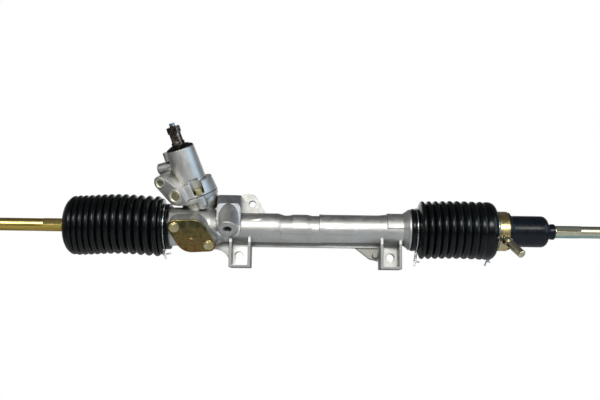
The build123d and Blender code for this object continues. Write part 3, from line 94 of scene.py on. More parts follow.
class Shader:
    """A material's node tree, with short calls for the nodes that the finishes share."""

    def __init__(self, name, **surface):
        self.material = bpy.data.materials.new(name)
        self.material.use_nodes = True
        self.tree = self.material.node_tree
        self.surface = self.tree.nodes["Principled BSDF"]
        for socket, value in surface.items():
            self.surface.inputs[socket.replace("_", " ")].default_value = value
        self.place = self.tree.nodes.new("ShaderNodeTexCoord").outputs["Object"]

    def noise(self, scale, detail=4.0, rough=0.6, stretch=(1, 1, 1)):
        """Noise of about 1/scale metres, in the piece's own coordinates."""
        mapping = self.tree.nodes.new("ShaderNodeMapping")
        mapping.inputs["Scale"].default_value = stretch
        texture = self.tree.nodes.new("ShaderNodeTexNoise")
        texture.inputs["Scale"].default_value = scale
        texture.inputs["Detail"].default_value = detail
        texture.inputs["Roughness"].default_value = rough
        self.tree.links.new(self.place, mapping.inputs["Vector"])
        self.tree.links.new(mapping.outputs["Vector"], texture.inputs["Vector"])
        return texture.outputs["Fac"]

    def ramp(self, value, stops):
        """Colours at places along a 0 to 1 value."""
        node = self.tree.nodes.new("ShaderNodeValToRGB")
        band = node.color_ramp
        while len(band.elements) < len(stops):
            band.elements.new(0.5)
        for element, (place, colour) in zip(band.elements, stops):
            element.position = place
            element.color = (*colour, 1)
        self.tree.links.new(value, node.inputs["Fac"])
        return node.outputs["Color"]

    def span(self, value, low, high, from_low=0.35, from_high=0.65):
        """A 0 to 1 value spread between two numbers."""
        node = self.tree.nodes.new("ShaderNodeMapRange")
        limits = {"From Min": from_low, "From Max": from_high, "To Min": low, "To Max": high}
        for socket, number in limits.items():
            node.inputs[socket].default_value = number
        self.tree.links.new(value, node.inputs["Value"])
        return node.outputs["Result"]

    def mix(self, factor, first, second, blend="MIX"):
        """One colour over another, by a value or a plain number."""
        node = self.tree.nodes.new("ShaderNodeMix")
        node.data_type = "RGBA"
        node.blend_type = blend
        inputs = [s for s in node.inputs if s.enabled]
        for socket, value in zip(inputs, (factor, first, second)):
            if isinstance(value, bpy.types.NodeSocket):
                self.tree.links.new(value, socket)
            elif isinstance(value, tuple):
                socket.default_value = (*value, 1)
            else:
                socket.default_value = value
        return [s for s in node.outputs if s.enabled][0]

    def colour(self, value):
        self.tree.links.new(value, self.surface.inputs["Base Color"])

    def rough(self, value):
        self.tree.links.new(value, self.surface.inputs["Roughness"])

    def painted_shade_in_crevices(self, reach):
        """A 0 to 1 value that falls in corners and gaps, within a reach in millimetres; the finishes use it
        to paint shade there.
        """
        node = self.tree.nodes.new("ShaderNodeAmbientOcclusion")
        node.samples = 8
        node.inputs["Distance"].default_value = reach * MM
        return node.outputs["AO"]

    def maths(self, operation, first, second=None):
        """A sum, product or the like of sockets and plain numbers."""
        node = self.tree.nodes.new("ShaderNodeMath")
        node.operation = operation
        for socket, value in zip(node.inputs, (first, second)):
            if isinstance(value, bpy.types.NodeSocket):
                self.tree.links.new(value, socket)
            elif value is not None:
                socket.default_value = value
        return node.outputs[0]

    def axes(self):
        split = self.tree.nodes.new("ShaderNodeSeparateXYZ")
        self.tree.links.new(self.place, split.inputs["Vector"])
        return split.outputs

    def inside(self, low, high):
        """1 between two corners given in millimetres, and 0 outside them. None leaves a side open."""
        value = 1.0
        for place, least, most in zip(self.axes(), low, high):
            if least is not None:
                value = self.maths("MULTIPLY", self.maths("GREATER_THAN", place, least * MM), value)
            if most is not None:
                value = self.maths("MULTIPLY", self.maths("LESS_THAN", place, most * MM), value)
        return value

    def near(self, place, reach):
        """1 within a reach of a place, in millimetres, and 0 farther off."""
        node = self.tree.nodes.new("ShaderNodeVectorMath")
        node.operation = "DISTANCE"
        node.inputs[1].default_value = [c * MM for c in place]
        self.tree.links.new(self.place, node.inputs[0])
        return self.maths("LESS_THAN", node.outputs["Value"], reach * MM)

    def edges(self, radius):
        """Normals with the edges rounded by a radius in millimetres."""
        node = self.tree.nodes.new("ShaderNodeBevel")
        node.samples = 6
        node.inputs["Radius"].default_value = radius * MM
        return node.outputs["Normal"]

    def bump(self, *heights, normal=None):
        """Stacked bumps, each a (value, strength, depth in millimetres)."""
        for value, strength, depth in heights:
            node = self.tree.nodes.new("ShaderNodeBump")
            node.inputs["Strength"].default_value = strength
            node.inputs["Distance"].default_value = depth * MM
            self.tree.links.new(value, node.inputs["Height"])
            if normal is not None:
                self.tree.links.new(normal, node.inputs["Normal"])
            normal = node.outputs["Normal"]
        self.tree.links.new(normal, self.surface.inputs["Normal"])


LABEL_PANELS = ((-23.0, 41.0), (32.0, 38.0))    # the bare raised panels on the tube, as (middle, length)
LABEL_PANEL_HEIGHT = 7.0
LABEL_PANEL_DROP = 4.6
LABEL_PANEL_RIM = 0.5           # of a panel, left with its own normals
LABEL_PANEL_FRONT = 16.0        # the panels are farther forward of the rack axis than this


def tube_normals(shader):
    """Rounded edges everywhere, and over the middle of the label panels the tube's own roundness."""
    x, y, z = shader.axes()
    height = shader.maths("SUBTRACT", z, AXIS_Z)
    forward = shader.maths("SUBTRACT", y, AXIS_Y)
    round_off = LABEL_PANEL_HEIGHT / 2 * MM
    above = shader.maths("ADD", height, LABEL_PANEL_DROP * MM)
    inside = 0.0
    for middle, length in LABEL_PANELS:
        beside = shader.maths("ABSOLUTE", shader.maths("SUBTRACT", x, middle * MM))
        beyond = shader.maths("SUBTRACT", beside, length / 2 * MM - round_off)
        beyond = shader.maths("MAXIMUM", beyond, 0.0)
        away = shader.maths("SQRT", shader.maths("ADD", shader.maths("POWER", beyond, 2.0),
                                                 shader.maths("POWER", above, 2.0)))
        on_panel = shader.maths("LESS_THAN", away, round_off - LABEL_PANEL_RIM * MM)
        inside = shader.maths("ADD", on_panel, inside)
    in_front = shader.maths("LESS_THAN", forward, -LABEL_PANEL_FRONT * MM)
    inside = shader.maths("MULTIPLY", inside, in_front)
    tube = shader.tree.nodes.new("ShaderNodeCombineXYZ")
    shader.tree.links.new(forward, tube.inputs["Y"])
    shader.tree.links.new(height, tube.inputs["Z"])
    straight = shader.tree.nodes.new("ShaderNodeVectorMath")
    straight.operation = "NORMALIZE"
    shader.tree.links.new(tube.outputs["Vector"], straight.inputs[0])
    blend = shader.tree.nodes.new("ShaderNodeMix")
    blend.data_type = "VECTOR"
    factor, first, second = [socket for socket in blend.inputs if socket.enabled]
    shader.tree.links.new(inside, factor)
    shader.tree.links.new(shader.edges(1.6), first)
    shader.tree.links.new(straight.outputs["Vector"], second)
    return [socket for socket in blend.outputs if socket.enabled][0]


PAINTED_LIGHT_TONES = (       # places of the casting painted lighter or darker for light and shade: two corners and a colour
    ((-107.5, -36.0, -17.0), (-78.0, -13.0, 16.0), (0.30, 0.31, 0.30)),     # feet
    ((79.0, -36.0, -17.0), (108.5, -13.0, 16.0), (0.30, 0.31, 0.30)),
    ((-102.7, -13.0, -11.6), (-82.6, -11.0, 30.0), (0.93, 0.93, 0.91)),     # their bolt pads
    ((83.9, -13.0, -11.6), (103.7, -11.0, 30.0), (0.66, 0.66, 0.63)),
    ((-92.0, -9.0, 46.0), (-56.0, -7.0, 79.0), (0.44, 0.44, 0.42)),         # ear
    ((46.0, -40.0, -10.0), (79.0, -1.0, 12.0), (0.30, 0.30, 0.28)),         # plate beside the right foot
    ((-123.0, -41.0, 36.0), (-91.0, -30.0, 76.0), (0.34, 0.35, 0.37)),      # front of the anchor block
)
# Cream mouths of the two ports: a place and a reach
PORT_MOUTHS = (((-189.6, -41.0, 88.0), 8.4), ((-170.6, -41.0, 71.6), 11.0))


def cast_aluminium():
    """Bare die casting: silver, a little blotched, with a fine grain, rounded edges, painted shade in its
    corners and painted light and shade at some places.
    """
    shader = Shader("cast_aluminium", Metallic=1.0)
    grain = shader.noise(900, 3)
    skin = shader.ramp(shader.noise(28, 5), [(0.30, (0.50, 0.50, 0.47)), (0.55, (0.62, 0.62, 0.60)),
                                             (0.75, (0.70, 0.71, 0.71))])
    base = shader.mix(0.3, skin, shader.ramp(grain, [(0.3, (0.46, 0.46, 0.44)), (0.7, (0.74, 0.74, 0.73))]))
    # painted shade: the colour darkens in corners and gaps
    corners = shader.ramp(shader.painted_shade_in_crevices(7), [(0.25, (0.42, 0.41, 0.36)), (0.75, (1.0, 1.0, 1.0))])
    base = shader.mix(1.0, base, corners, "MULTIPLY")
    # painted light and shade: these places are made lighter or darker than the rest of the casting
    for low, high, painted_tone in PAINTED_LIGHT_TONES:
        base = shader.mix(shader.inside(low, high), base, painted_tone)
    for place, reach in PORT_MOUTHS:
        base = shader.mix(shader.near(place, reach), base, (0.86, 0.84, 0.72))
    shader.colour(base)
    shader.rough(shader.span(shader.noise(160, 4), 0.42, 0.56))
    shader.bump((shader.noise(90, 3), 0.30, 0.4), (grain, 0.25, 0.08), normal=tube_normals(shader))
    return shader.material


def zinc(name, stops, scale=60, rough=(0.22, 0.38), edge=0.5, corner=(0.35, 0.28, 0.14)):
    """Passivated zinc plate, whose colour drifts from place to place, with painted shade in its corners."""
    shader = Shader(name, Metallic=1.0)
    # painted shade: corner is the colour that the plate darkens to in corners and gaps
    corners = shader.ramp(shader.painted_shade_in_crevices(4), [(0.25, corner), (0.75, (1.0, 1.0, 1.0))])
    shader.colour(shader.mix(1.0, shader.ramp(shader.noise(scale, 3, 0.5), stops), corners, "MULTIPLY"))
    shader.rough(shader.span(shader.noise(130, 3), *rough))
    shader.bump((shader.noise(1200, 2), 0.04, 0.03), normal=shader.edges(edge))
    return shader.material


ROD_LIGHT_HALF = 8.5          # height above and below the rack axis over which a rod's painted light and shade change
THREAD_PITCH = 1.5
THREAD_MIDDLE = -4.0    # the rods' threads start equally far from this place
THREAD_START = 461.0


def rod_zinc(name, stops):
    """Zinc plate on drawn bar: streaks along it, the plating's colours with painted light and shade by
    height, and the turns of the threads.
    """
    shader = Shader(name, Metallic=1.0)
    x, y, z = shader.axes()
    streaks = shader.noise(500, 3, 0.5, (0.03, 1, 1))
    # painted light and shade: the colour ramp runs by height, with a painted highlight along the middle and
    # painted shade at top and bottom
    height = shader.span(z, 0.1, 0.9, AXIS_Z - ROD_LIGHT_HALF * MM, AXIS_Z + ROD_LIGHT_HALF * MM)
    shader.colour(shader.ramp(shader.maths("ADD", height, shader.span(streaks, -0.12, 0.12)), stops))
    shader.rough(shader.span(streaks, 0.25, 0.34))
    turns = shader.maths("SINE", shader.maths("MULTIPLY", x, 2 * math.pi / (THREAD_PITCH * MM)))
    away = shader.maths("ABSOLUTE", shader.maths("ADD", x, -THREAD_MIDDLE * MM))
    ends = shader.maths("GREATER_THAN", away, THREAD_START * MM)
    thread = shader.maths("MULTIPLY", turns, ends)
    shader.bump((thread, 0.8, 0.5), (streaks, 0.1, 0.03), normal=shader.edges(0.4))
    return shader.material


STUB_PLACE = (-178.5, -48.5, 164.0)     # just past the input shaft's bright end
STUB_REACH = 8.2


def worn_shaft():
    """Dark oiled steel, with its end stub bright."""
    shader = Shader("worn_shaft", Metallic=1.0)
    oiled = shader.ramp(shader.noise(150, 4), [(0.35, (0.035, 0.028, 0.022)), (0.55, (0.16, 0.12, 0.09)),
                                               (0.70, (0.42, 0.38, 0.33))])
    shader.colour(shader.mix(shader.near(STUB_PLACE, STUB_REACH), oiled, (0.42, 0.46, 0.50)))
    shader.rough(shader.span(shader.noise(400, 3), 0.18, 0.34))
    shader.bump((shader.noise(900, 3), 0.2, 0.05), normal=shader.edges(0.4))
    return shader.material


COVER_HEIGHT = (2.0, 40.0)      # of the guide cover, bottom and top


def cover_zinc():
    """Zinc plate that runs from a green grey at the top to a warm brown below: partly the plating's colour,
    partly painted shade that darkens the top.
    """
    shader = Shader("cover_zinc", Metallic=1.0)
    x, y, z = shader.axes()
    low, high = COVER_HEIGHT
    # plating colour and painted shade: darker green grey towards the top, lighter warm brown below
    shade_and_tint_by_height = shader.span(z, 0.75, 0.25, low * MM, high * MM)
    drift = shader.maths("ADD", shade_and_tint_by_height, shader.span(shader.noise(140, 4), -0.25, 0.25))
    shader.colour(shader.ramp(drift, [(0.15, (0.075, 0.080, 0.045)), (0.40, (0.17, 0.15, 0.06)),
                                      (0.60, (0.30, 0.21, 0.08)), (0.85, (0.22, 0.105, 0.035))]))
    shader.rough(shader.span(shader.noise(300, 4), 0.14, 0.26))
    shader.bump((shader.noise(260, 3), 0.25, 0.15), normal=shader.edges(1.4))
    return shader.material


def steel(name, dark, light, rough=(0.25, 0.4)):
    """Machined steel with fine turning marks."""
    shader = Shader(name, Metallic=1.0)
    shader.colour(shader.ramp(shader.noise(120, 4), [(0.3, dark), (0.7, light)]))
    shader.rough(shader.span(shader.noise(400, 3), *rough))
    shader.bump((shader.noise(900, 3, stretch=(3, 0.4, 0.4)), 0.2, 0.05), normal=shader.edges(0.3))
    return shader.material


def rubber(name, tint, rough=(0.30, 0.42), grain=900, shine=0.4):
    """Moulded rubber: near black, satin, with a faint bloom."""
    shader = Shader(name, Metallic=0.0, Specular_IOR_Level=shine)
    bloom = shader.noise(70, 5)
    shader.colour(shader.ramp(bloom, [(0.35, tint), (0.75, tuple(c * 1.8 + 0.0006 for c in tint))]))
    shader.rough(shader.span(shader.noise(220, 4), *rough))
    shader.bump((shader.noise(60, 3), 0.15, 0.3), (shader.noise(grain, 3), 0.12, 0.04))
    return shader.material


def plastic(name, tint):
    """Moulded plastic."""
    shader = Shader(name, Metallic=0.0)
    shader.colour(shader.ramp(shader.noise(90, 3), [(0.3, tuple(c * 0.9 for c in tint)), (0.7, tint)]))
    shader.rough(shader.span(shader.noise(300, 3), 0.35, 0.5))
    shader.bump((shader.noise(800, 2), 0.1, 0.05))
    return shader.material


FINISHES = {
    "cast_aluminium": cast_aluminium(),
    "gold_zinc": zinc("gold_zinc", [(0.25, (0.50, 0.40, 0.16)), (0.45, (0.70, 0.56, 0.24)),
                                    (0.60, (0.62, 0.58, 0.36)), (0.80, (0.70, 0.46, 0.26))]),
    # rod colours by height: plating colours, with painted shade at both ends of the ramp and a painted
    # highlight in the middle
    "gold_zinc_rod": rod_zinc("gold_zinc_rod", [(0.15, (0.36, 0.24, 0.04)), (0.42, (0.82, 0.62, 0.16)),
                                                (0.62, (0.90, 0.74, 0.30)), (0.85, (0.50, 0.34, 0.08))]),
    "pale_zinc_rod": rod_zinc("pale_zinc_rod", [(0.12, (0.34, 0.50, 0.46)), (0.38, (0.62, 0.60, 0.46)),
                                                (0.55, (0.86, 0.76, 0.46)), (0.68, (0.80, 0.78, 0.66)),
                                                (0.88, (0.36, 0.42, 0.34))]),
    "ground_steel": steel("ground_steel", (0.50, 0.50, 0.50), (0.68, 0.68, 0.68)),
    "dark_steel": steel("dark_steel", (0.10, 0.075, 0.055), (0.30, 0.26, 0.22), (0.28, 0.5)),
    "bronze": steel("bronze", (0.50, 0.32, 0.14), (0.68, 0.46, 0.22)),
    "bellows_rubber": rubber("bellows_rubber", (0.0010, 0.0018, 0.0020), (0.19, 0.27), shine=0.3),
    "boot_rubber": rubber("boot_rubber", (0.0030, 0.0050, 0.0080), (0.22, 0.30), 500, 0.3),
    "plastic": plastic("plastic", (0.85, 0.84, 0.78)),
    "wire": steel("wire", (0.50, 0.53, 0.53), (0.78, 0.80, 0.80), (0.2, 0.3)),
}


# Pieces whose finish differs from the rest of their slot
OWN_FINISHES = {
    "guide_cover": cover_zinc(),
    "guide_cover_bolts": zinc("gold_zinc_bolts", [(0.3, (0.60, 0.50, 0.24)), (0.7, (0.86, 0.78, 0.50))],
                              90, (0.2, 0.3), 0.9),
    "input_shaft": worn_shaft(),
    "dust_seal": rubber("seal_rubber", (0.0020, 0.0022, 0.0022), (0.34, 0.44), 900, 0.15),
    "ram_stud": zinc("stud_zinc", [(0.3, (0.66, 0.58, 0.36)), (0.7, (0.88, 0.84, 0.66))],
                     120, (0.16, 0.26), 0.8),
    "port_seats": plastic("port_plastic", (0.80, 0.76, 0.58)),
}


def smooth_by_angle(mesh, limit=math.radians(32)):
    """Smooth shading, with edges sharper than the limit left sharp."""
    mesh.polygons.foreach_set("use_smooth", [True] * len(mesh.polygons))
    sharp = []
    form = bmesh.new()
    form.from_mesh(mesh)
    for edge in form.edges:
        sharp.append(len(edge.link_faces) != 2 or edge.calc_face_angle(0) > limit)
    form.free()
    attribute = mesh.attributes.get("sharp_edge") or mesh.attributes.new("sharp_edge", "BOOLEAN", "EDGE")
    attribute.data.foreach_set("value", sharp)


def dress_cad():
    """Give every CAD piece its own finish, or else that of its material slot."""
    for part in frame["record"]["subparts"]:
        piece = nodes[part["node"]]
        piece.data.materials.clear()
        piece.data.materials.append(OWN_FINISHES.get(part["node"], FINISHES[part["material_slot"]]))


# Soft parts and wires, turned or swept about the rack axis. Places and radii are in millimetres.

ROUND = 144
BELLOWS_WALL = 1.7
BOOT_WALL = 1.8


def on_axis(x, radius, angle):
    """Point at an angle round the rack axis, 0 upwards and growing towards the front."""
    return (x * MM, AXIS_Y - radius * MM * math.sin(angle), AXIS_Z + radius * MM * math.cos(angle))


def make_piece(name, points, faces, slot, smooth_limit=math.radians(50)):
    """Mesh object with a material slot's finish."""
    mesh = bpy.data.meshes.new(name)
    mesh.from_pydata(points, [], faces)
    form = bmesh.new()
    form.from_mesh(mesh)
    bmesh.ops.recalc_face_normals(form, faces=form.faces)
    form.to_mesh(mesh)
    form.free()
    smooth_by_angle(mesh, smooth_limit)
    mesh.materials.append(FINISHES[slot])
    piece = bpy.data.objects.new(name, mesh)
    bpy.context.scene.collection.objects.link(piece)
    return piece


def lathe(name, outer, inner, slot, bow=None):
    """Closed shell turned about the rack axis, from (x, radius) stations of its outside and its inside.
    bow is (start, end, rise): the shell arches upwards between the two places."""
    loop = outer + inner[::-1]
    points = []
    for x, radius in loop:
        rise = 0
        if bow and bow[0] < x < bow[1]:
            rise = bow[2] * math.sin(math.pi * (x - bow[0]) / (bow[1] - bow[0])) ** 2
        for turn in range(ROUND):
            px, py, pz = on_axis(x, radius, 2 * math.pi * turn / ROUND)
            points.append((px, py, pz + rise * MM))
    faces = []
    for row in range(len(loop)):
        after = (row + 1) % len(loop)
        for turn in range(ROUND):
            beside = (turn + 1) % ROUND
            faces.append((row * ROUND + turn, row * ROUND + beside,
                          after * ROUND + beside, after * ROUND + turn))
    return make_piece(name, points, faces, slot)


def folds(start, pitch, growth, count, crest, valley, steps=14, sharpness=0.42):
    """Stations of rounded folds: the first crest stands at start, and each pitch is longer than the one
    before. crest and valley are each a pair of radii, for the first fold and for the last."""
    stations = []
    for step in range(-steps // 2, (count - 1) * steps + steps // 2 + 1):
        fold = step / steps
        wave = (0.5 + 0.5 * math.cos(2 * math.pi * fold)) ** sharpness
        share = min(1, max(0, fold / (count - 1)))
        top = crest[0] + (crest[1] - crest[0]) * share
        bottom = valley[0] + (valley[1] - valley[0]) * share
        place = start + pitch * fold + growth * fold * (fold - 1) / 2
        stations.append((place, bottom + (top - bottom) * wave))
    return stations


def thinner(stations, wall):
    """The same stations, one wall further in."""
    return [(x, radius - wall) for x, radius in stations]


def cut(stations, start, end):
    """The stations between two places, with a new one at each end."""
    def radius_at(place):
        for (x0, r0), (x1, r1) in zip(stations, stations[1:]):
            if x0 <= place <= x1:
                return r0 + (r1 - r0) * (place - x0) / (x1 - x0) if x1 > x0 else r0
    return ([(start, radius_at(start))] + [(x, r) for x, r in stations if start < x < end]
            + [(end, radius_at(end))])


def sweep(path, radius, sides=12):
    """Points and faces of a closed round bar along a path of points in metres."""
    points, faces = [], []
    side = Vector((0.37, 0.21, 0.9))
    for number, place in enumerate(path):
        before, after = path[max(0, number - 1)], path[min(len(path) - 1, number + 1)]
        along = (Vector(after) - Vector(before)).normalized()
        side = (side - along * side.dot(along)).normalized()
        other = along.cross(side)
        for step in range(sides):
            angle = 2 * math.pi * step / sides
            spoke = side * math.cos(angle) + other * math.sin(angle)
            points.append(tuple(Vector(place) + spoke * radius * MM))
    for row in range(len(path) - 1):
        for step in range(sides):
            beside = (step + 1) % sides
            faces.append((row * sides + step, row * sides + beside,
                          (row + 1) * sides + beside, (row + 1) * sides + step))
    faces.append(tuple(range(sides)))
    faces.append(tuple((len(path) - 1) * sides + step for step in range(sides)))
    return points, faces


def join_shells(shells):
    """Several shells as one list of points and one of faces."""
    points, faces = [], []
    for more_points, more_faces in shells:
        faces += [tuple(corner + len(points) for corner in face) for face in more_faces]
        points += more_points
    return points, faces


def twisted_pair(middle, wire, phase, twist):
    """Path of one of two wires twisted round a middle line of points."""
    strand = []
    travelled = 0.0
    for number, place in enumerate(middle):
        ahead = (middle[min(number + 1, len(middle) - 1)] - middle[max(number - 1, 0)]).normalized()
        if number:
            travelled += (place - middle[number - 1]).length
        one = ahead.cross(Vector((0.2, 0.1, 1))).normalized()
        two = ahead.cross(one)
        angle = phase + travelled / MM * twist
        strand.append(place + (one * math.cos(angle) + two * math.sin(angle)) * wire * MM)
    return strand


def wire_clip(name, x, radius, wire, tail_angle, tail, ends, slot="wire"):
    """Soft wire wound once round a cuff, with its two ends twisted together and then spread.
    tail and ends are lists of (x, outwards, round) places in millimetres from where the ends meet."""
    centre = radius + wire
    steps = 144
    ring = [on_axis(x, centre, tail_angle + 2 * math.pi * step / steps) for step in range(steps + 1)]
    shells = [sweep(ring, wire)]
    out = (Vector(on_axis(0, 1, tail_angle)) - Vector(on_axis(0, 0, tail_angle))).normalized()
    along = Vector((1, 0, 0))
    around = along.cross(out)
    foot = Vector(on_axis(x, centre, tail_angle))
    corners = [foot] + [foot + (along * a + out * b + around * c) * MM for a, b, c in tail]
    middle = [first.lerp(second, step / 10)
              for first, second in zip(corners, corners[1:]) for step in range(10)]
    for phase, end in zip((0, math.pi), ends):
        strand = twisted_pair(middle, wire, phase, 1.2)
        last = strand[-1]
        strand += [last.lerp(foot + (along * end[0] + out * end[1] + around * end[2]) * MM, step / 6)
                   for step in range(1, 7)]
        shells.append(sweep(strand, wire * 1.35, 10))
    return make_piece(name, *join_shells(shells), slot)


LEFT_MOUTH = -312.6         # places where the left bellows ends, and where its pieces meet
LEFT_RIM = -307.0
LEFT_FOLDS = -295.5
LEFT_CUFF = -179.7


def left_gaiter():
    """Left bellows, in three pieces: its folds, its rim and the end wall at its mouth."""
    outside = [(LEFT_MOUTH, 10.4), (-312.2, 10.8), (-311.9, 11.4), (-311.7, 14.0), (-311.4, 18.0),
               (-310.6, 22.0), (-309.0, 27.0), (-306.8, 31.0), (-303.8, 34.2), (-301.2, 36.0),
               (-299.4, 36.6), (-298.2, 36.4), (-297.3, 35.6)]
    outside += folds(-292.9, 7.0, 0.36, 12, (37.2, 37.6), (34.4, 32.6))[:-3]
    outside += [(-192.8, 33.0), (-191.6, 34.6), (-190.2, 35.2), (-189.0, 34.6), (-188.2, 32.0),
                (-187.7, 29.2), (-187.2, 27.9), (-185.4, 27.6), (-184.6, 28.4), (-183.4, 28.7),
                (-182.4, 27.9), (-181.6, 28.3), (-180.6, 28.6), (LEFT_CUFF, 28.1)]
    inside = [(LEFT_MOUTH, 8.3), (-309.6, 8.5), (-309.2, 16.0)]
    inside += thinner(cut(outside, -306.0, -192.0), BELLOWS_WALL)
    inside += [(-190.0, 29.0), (-188.8, 25.6), (LEFT_CUFF, 25.1)]
    bow = (-300, -186, 2.4)
    pieces = []
    for name, low_x, high_x in (("left_bellows_folds", LEFT_FOLDS, LEFT_CUFF),
                                ("left_bellows_rim", LEFT_RIM, LEFT_FOLDS),
                                ("left_bellows_mouth", LEFT_MOUTH, LEFT_RIM)):
        outer = cut(outside, low_x, high_x)
        pieces.append(lathe(name, outer, cut(inside, low_x, high_x), "bellows_rubber", bow))
    folds_piece, rim, mouth = pieces
    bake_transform(folds_piece)
    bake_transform(rim)
    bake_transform(mouth)
    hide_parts("left_bellows")


def right_gaiter():
    """Right bellows, between the housing's neck and the ram collar."""
    outside = [(118.3, 25.2), (118.8, 25.9), (120.2, 26.4), (122.4, 26.5), (123.4, 25.9), (124.2, 25.8),
               (126.6, 25.9), (127.6, 26.6), (128.4, 28.4), (129.6, 31.6)]
    outside += folds(132.9, 8.3, 0.2, 9, (36.2, 36.2), (31.8, 33.6))[4:-2]
    outside += [(208.4, 34.4), (209.6, 35.4), (211.6, 36.1), (214.4, 36.3), (217.4, 35.8), (220.2, 34.4),
                (222.4, 32.0), (223.6, 29.4), (223.9, 27.0), (224.0, 24.5), (224.2, 24.3), (225.3, 23.9)]
    inside = [(118.3, 23.4), (129.0, 23.4)] + thinner(cut(outside, 131.0, 219.0), BELLOWS_WALL)
    inside += [(221.0, 26.0), (222.4, 21.4), (225.3, 21.3)]
    piece = lathe("right_bellows_folds", outside, inside, "bellows_rubber", (126, 222, 0.9))
    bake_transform(piece)
    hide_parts("right_bellows")


BOOT_START = 238.9      # places where the right joint's boot begins and ends, and where its pieces meet
BOOT_SHOULDER = 274.0
BOOT_NECK = 285.4
BOOT_END = 298.4


def joint_boot():
    """Smooth boot over the right ball joint, in three pieces, of which the body hangs on the rack."""
    outside = [(BOOT_START, 23.3), (239.3, 23.6), (240.6, 23.6), (241.2, 23.2), (241.7, 21.4),
               (242.4, 20.2), (243.6, 19.7), (246.0, 19.5), (281.6, 19.5)]
    outside += [(283.4, 19.2), (285.0, 18.5), (286.6, 17.3), (287.8, 15.8), (288.8, 13.9),
                (289.4, 12.0), (289.8, 10.6), (290.6, 9.7), (291.8, 9.4), (293.6, 9.4),
                (294.2, 9.8), (296.8, 9.9), (298.0, 9.6), (BOOT_END, 9.0)]
    inside = [(BOOT_START, 17.9), (242.0, 17.8)] + thinner(cut(outside, 243.6, 286.0), BOOT_WALL)
    inside += [(287.6, 9.0), (288.4, 7.9), (BOOT_END, 7.8)]
    pieces = (("joint_boot_body", BOOT_START, BOOT_SHOULDER, None),
              ("joint_boot_shoulder", BOOT_SHOULDER, BOOT_NECK, ("rack", "right_seat")),
              ("joint_boot_neck", BOOT_NECK, BOOT_END, ("right_seat", "right_rod")))
    for name, low_x, high_x, bodies in pieces:
        piece = lathe(name, cut(outside, low_x, high_x), cut(inside, low_x, high_x), "boot_rubber")
        if bodies:
            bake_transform(piece)
        else:
            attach(piece, "rack")
            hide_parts("right_joint_boot")


def wires():
    """The four soft wire clips, with their twisted ends hanging below."""
    down = math.pi
    clips = (
        ("left_inner_wire", "left_bellows_wire", "housing", -186.2, 27.6, 0.75, down - 0.22,
         [(-1.2, 3.0, 0.6), (-0.4, 8.5, 1.2)], ((2.4, 13.0, 1.4), (8.0, 5.5, 3.0))),
        ("left_outer_wire", "left_bellows_clip", "left_rod", -312.2, 10.8, 0.35, down,
         [(0.2, 0.6, 0.2), (0.6, 1.6, 0.4)], ((0.9, 2.6, 0.4), (0.3, 2.4, 1.2))),
        ("right_inner_wire", "right_bellows_inner_wire", "housing", 125.4, 25.9, 0.8, down - 0.12,
         [(0.2, 2.6, 0.2), (-0.8, 8.0, 0.6), (-1.6, 13.0, 1.2)], ((4.2, 13.6, 1.8), (-2.4, 18.4, 1.6))),
        ("right_outer_wire", "right_bellows_outer_wire", "rack", 224.7, 24.3, 0.75, down + 0.35,
         [(-0.2, 6.0, 0.2), (-4.0, 11.0, 0.6), (-7.5, 15.2, 1.2)], ((-3.0, 16.2, 1.6), (-9.6, 21.0, 1.4))),
    )
    for name, node, body, x, radius, wire, angle, tail, ends in clips:
        piece = wire_clip(name, x, radius, wire, angle, tail, ends)
        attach(piece, body)
        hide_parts(node)


make_camera()
dress_cad()
left_gaiter()
right_gaiter()
joint_boot()
wires()


# Light and stage

def area_light(name, place, aim, size, power, tint=(1, 1, 1), spread=180):
    """Rectangular lamp that looks at a place; its power is in watts and its spread in degrees."""
    data = bpy.data.lights.new(name, "AREA")
    data.shape = "RECTANGLE"
    data.size, data.size_y = size
    data.energy = power
    data.color = tint
    light = bpy.data.objects.new(name, data)
    data.spread = math.radians(spread)
    light.location = place
    light.rotation_euler = (Vector(aim) - Vector(place)).to_track_quat("-Z", "Y").to_euler()
    bpy.context.scene.collection.objects.link(light)


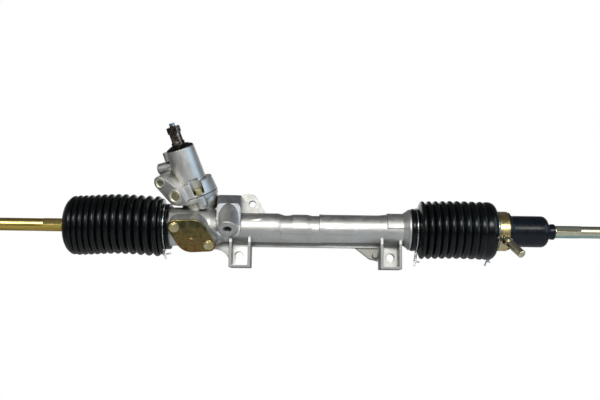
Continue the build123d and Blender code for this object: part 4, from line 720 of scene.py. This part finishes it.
def make_world():
    """White to the camera, and a soft grey room to everything else."""
    world = bpy.data.worlds.new("studio")
    bpy.context.scene.world = world
    world.use_nodes = True
    tree = world.node_tree
    tree.nodes.clear()
    out = tree.nodes.new("ShaderNodeOutputWorld")
    mix = tree.nodes.new("ShaderNodeMixShader")
    room = tree.nodes.new("ShaderNodeBackground")
    white = tree.nodes.new("ShaderNodeBackground")
    white.inputs["Color"].default_value = (1, 1, 1, 1)
    white.inputs["Strength"].default_value = 1.0
    place = tree.nodes.new("ShaderNodeTexCoord")
    split = tree.nodes.new("ShaderNodeSeparateXYZ")
    height = tree.nodes.new("ShaderNodeMapRange")
    height.inputs["From Min"].default_value = -1
    tint = tree.nodes.new("ShaderNodeValToRGB")
    stops = [(0.0, (0.15, 0.15, 0.14)), (0.30, (0.09, 0.09, 0.08)), (0.42, (0.13, 0.13, 0.12)),
             (0.53, (0.22, 0.22, 0.22)), (0.64, (0.20, 0.20, 0.21)), (0.85, (0.11, 0.11, 0.11)),
             (1.0, (0.07, 0.07, 0.07))]
    while len(tint.color_ramp.elements) < len(stops):
        tint.color_ramp.elements.new(0.5)
    for element, (where, colour) in zip(tint.color_ramp.elements, stops):
        element.position = where
        element.color = (*colour, 1)
    rays = tree.nodes.new("ShaderNodeLightPath")
    tree.links.new(place.outputs["Generated"], split.inputs["Vector"])
    tree.links.new(split.outputs["Z"], height.inputs["Value"])
    tree.links.new(height.outputs["Result"], tint.inputs["Fac"])
    tree.links.new(tint.outputs["Color"], room.inputs["Color"])
    tree.links.new(rays.outputs["Is Camera Ray"], mix.inputs["Fac"])
    tree.links.new(room.outputs["Background"], mix.inputs[1])
    tree.links.new(white.outputs["Background"], mix.inputs[2])
    tree.links.new(mix.outputs["Shader"], out.inputs["Surface"])


def make_floor():
    """Pale floor, well below the rack."""
    mesh = bpy.data.meshes.new("floor")
    half, level = 1.4, -0.42
    corners = [(-half, -half, level), (half, -half, level), (half, half, level), (-half, half, level)]
    mesh.from_pydata(corners, [], [(0, 1, 2, 3)])
    floor = bpy.data.objects.new("floor", mesh)
    shader = Shader("floor", Roughness=0.8)
    shader.colour(shader.ramp(shader.noise(3, 2), [(0.3, (0.86, 0.86, 0.86)), (0.7, (0.90, 0.90, 0.90))]))
    mesh.materials.append(shader.material)
    bpy.context.scene.collection.objects.link(floor)


make_world()
make_floor()
area_light("key", (-0.1, -1.45, 0.60), (0, 0, 0.03), (2.2, 0.34), 7.4, (1.0, 0.985, 0.95), 90)
area_light("blue_side", (1.3, -0.8, 0.45), (-0.1, 0, 0.05), (0.9, 1.1), 7, (0.55, 0.76, 1.0))
area_light("back", (0, 1.5, 0.5), (0, 0.1, -0.3), (2.4, 0.6), 5)

scene = bpy.context.scene
scene.view_settings.view_transform = "Standard"
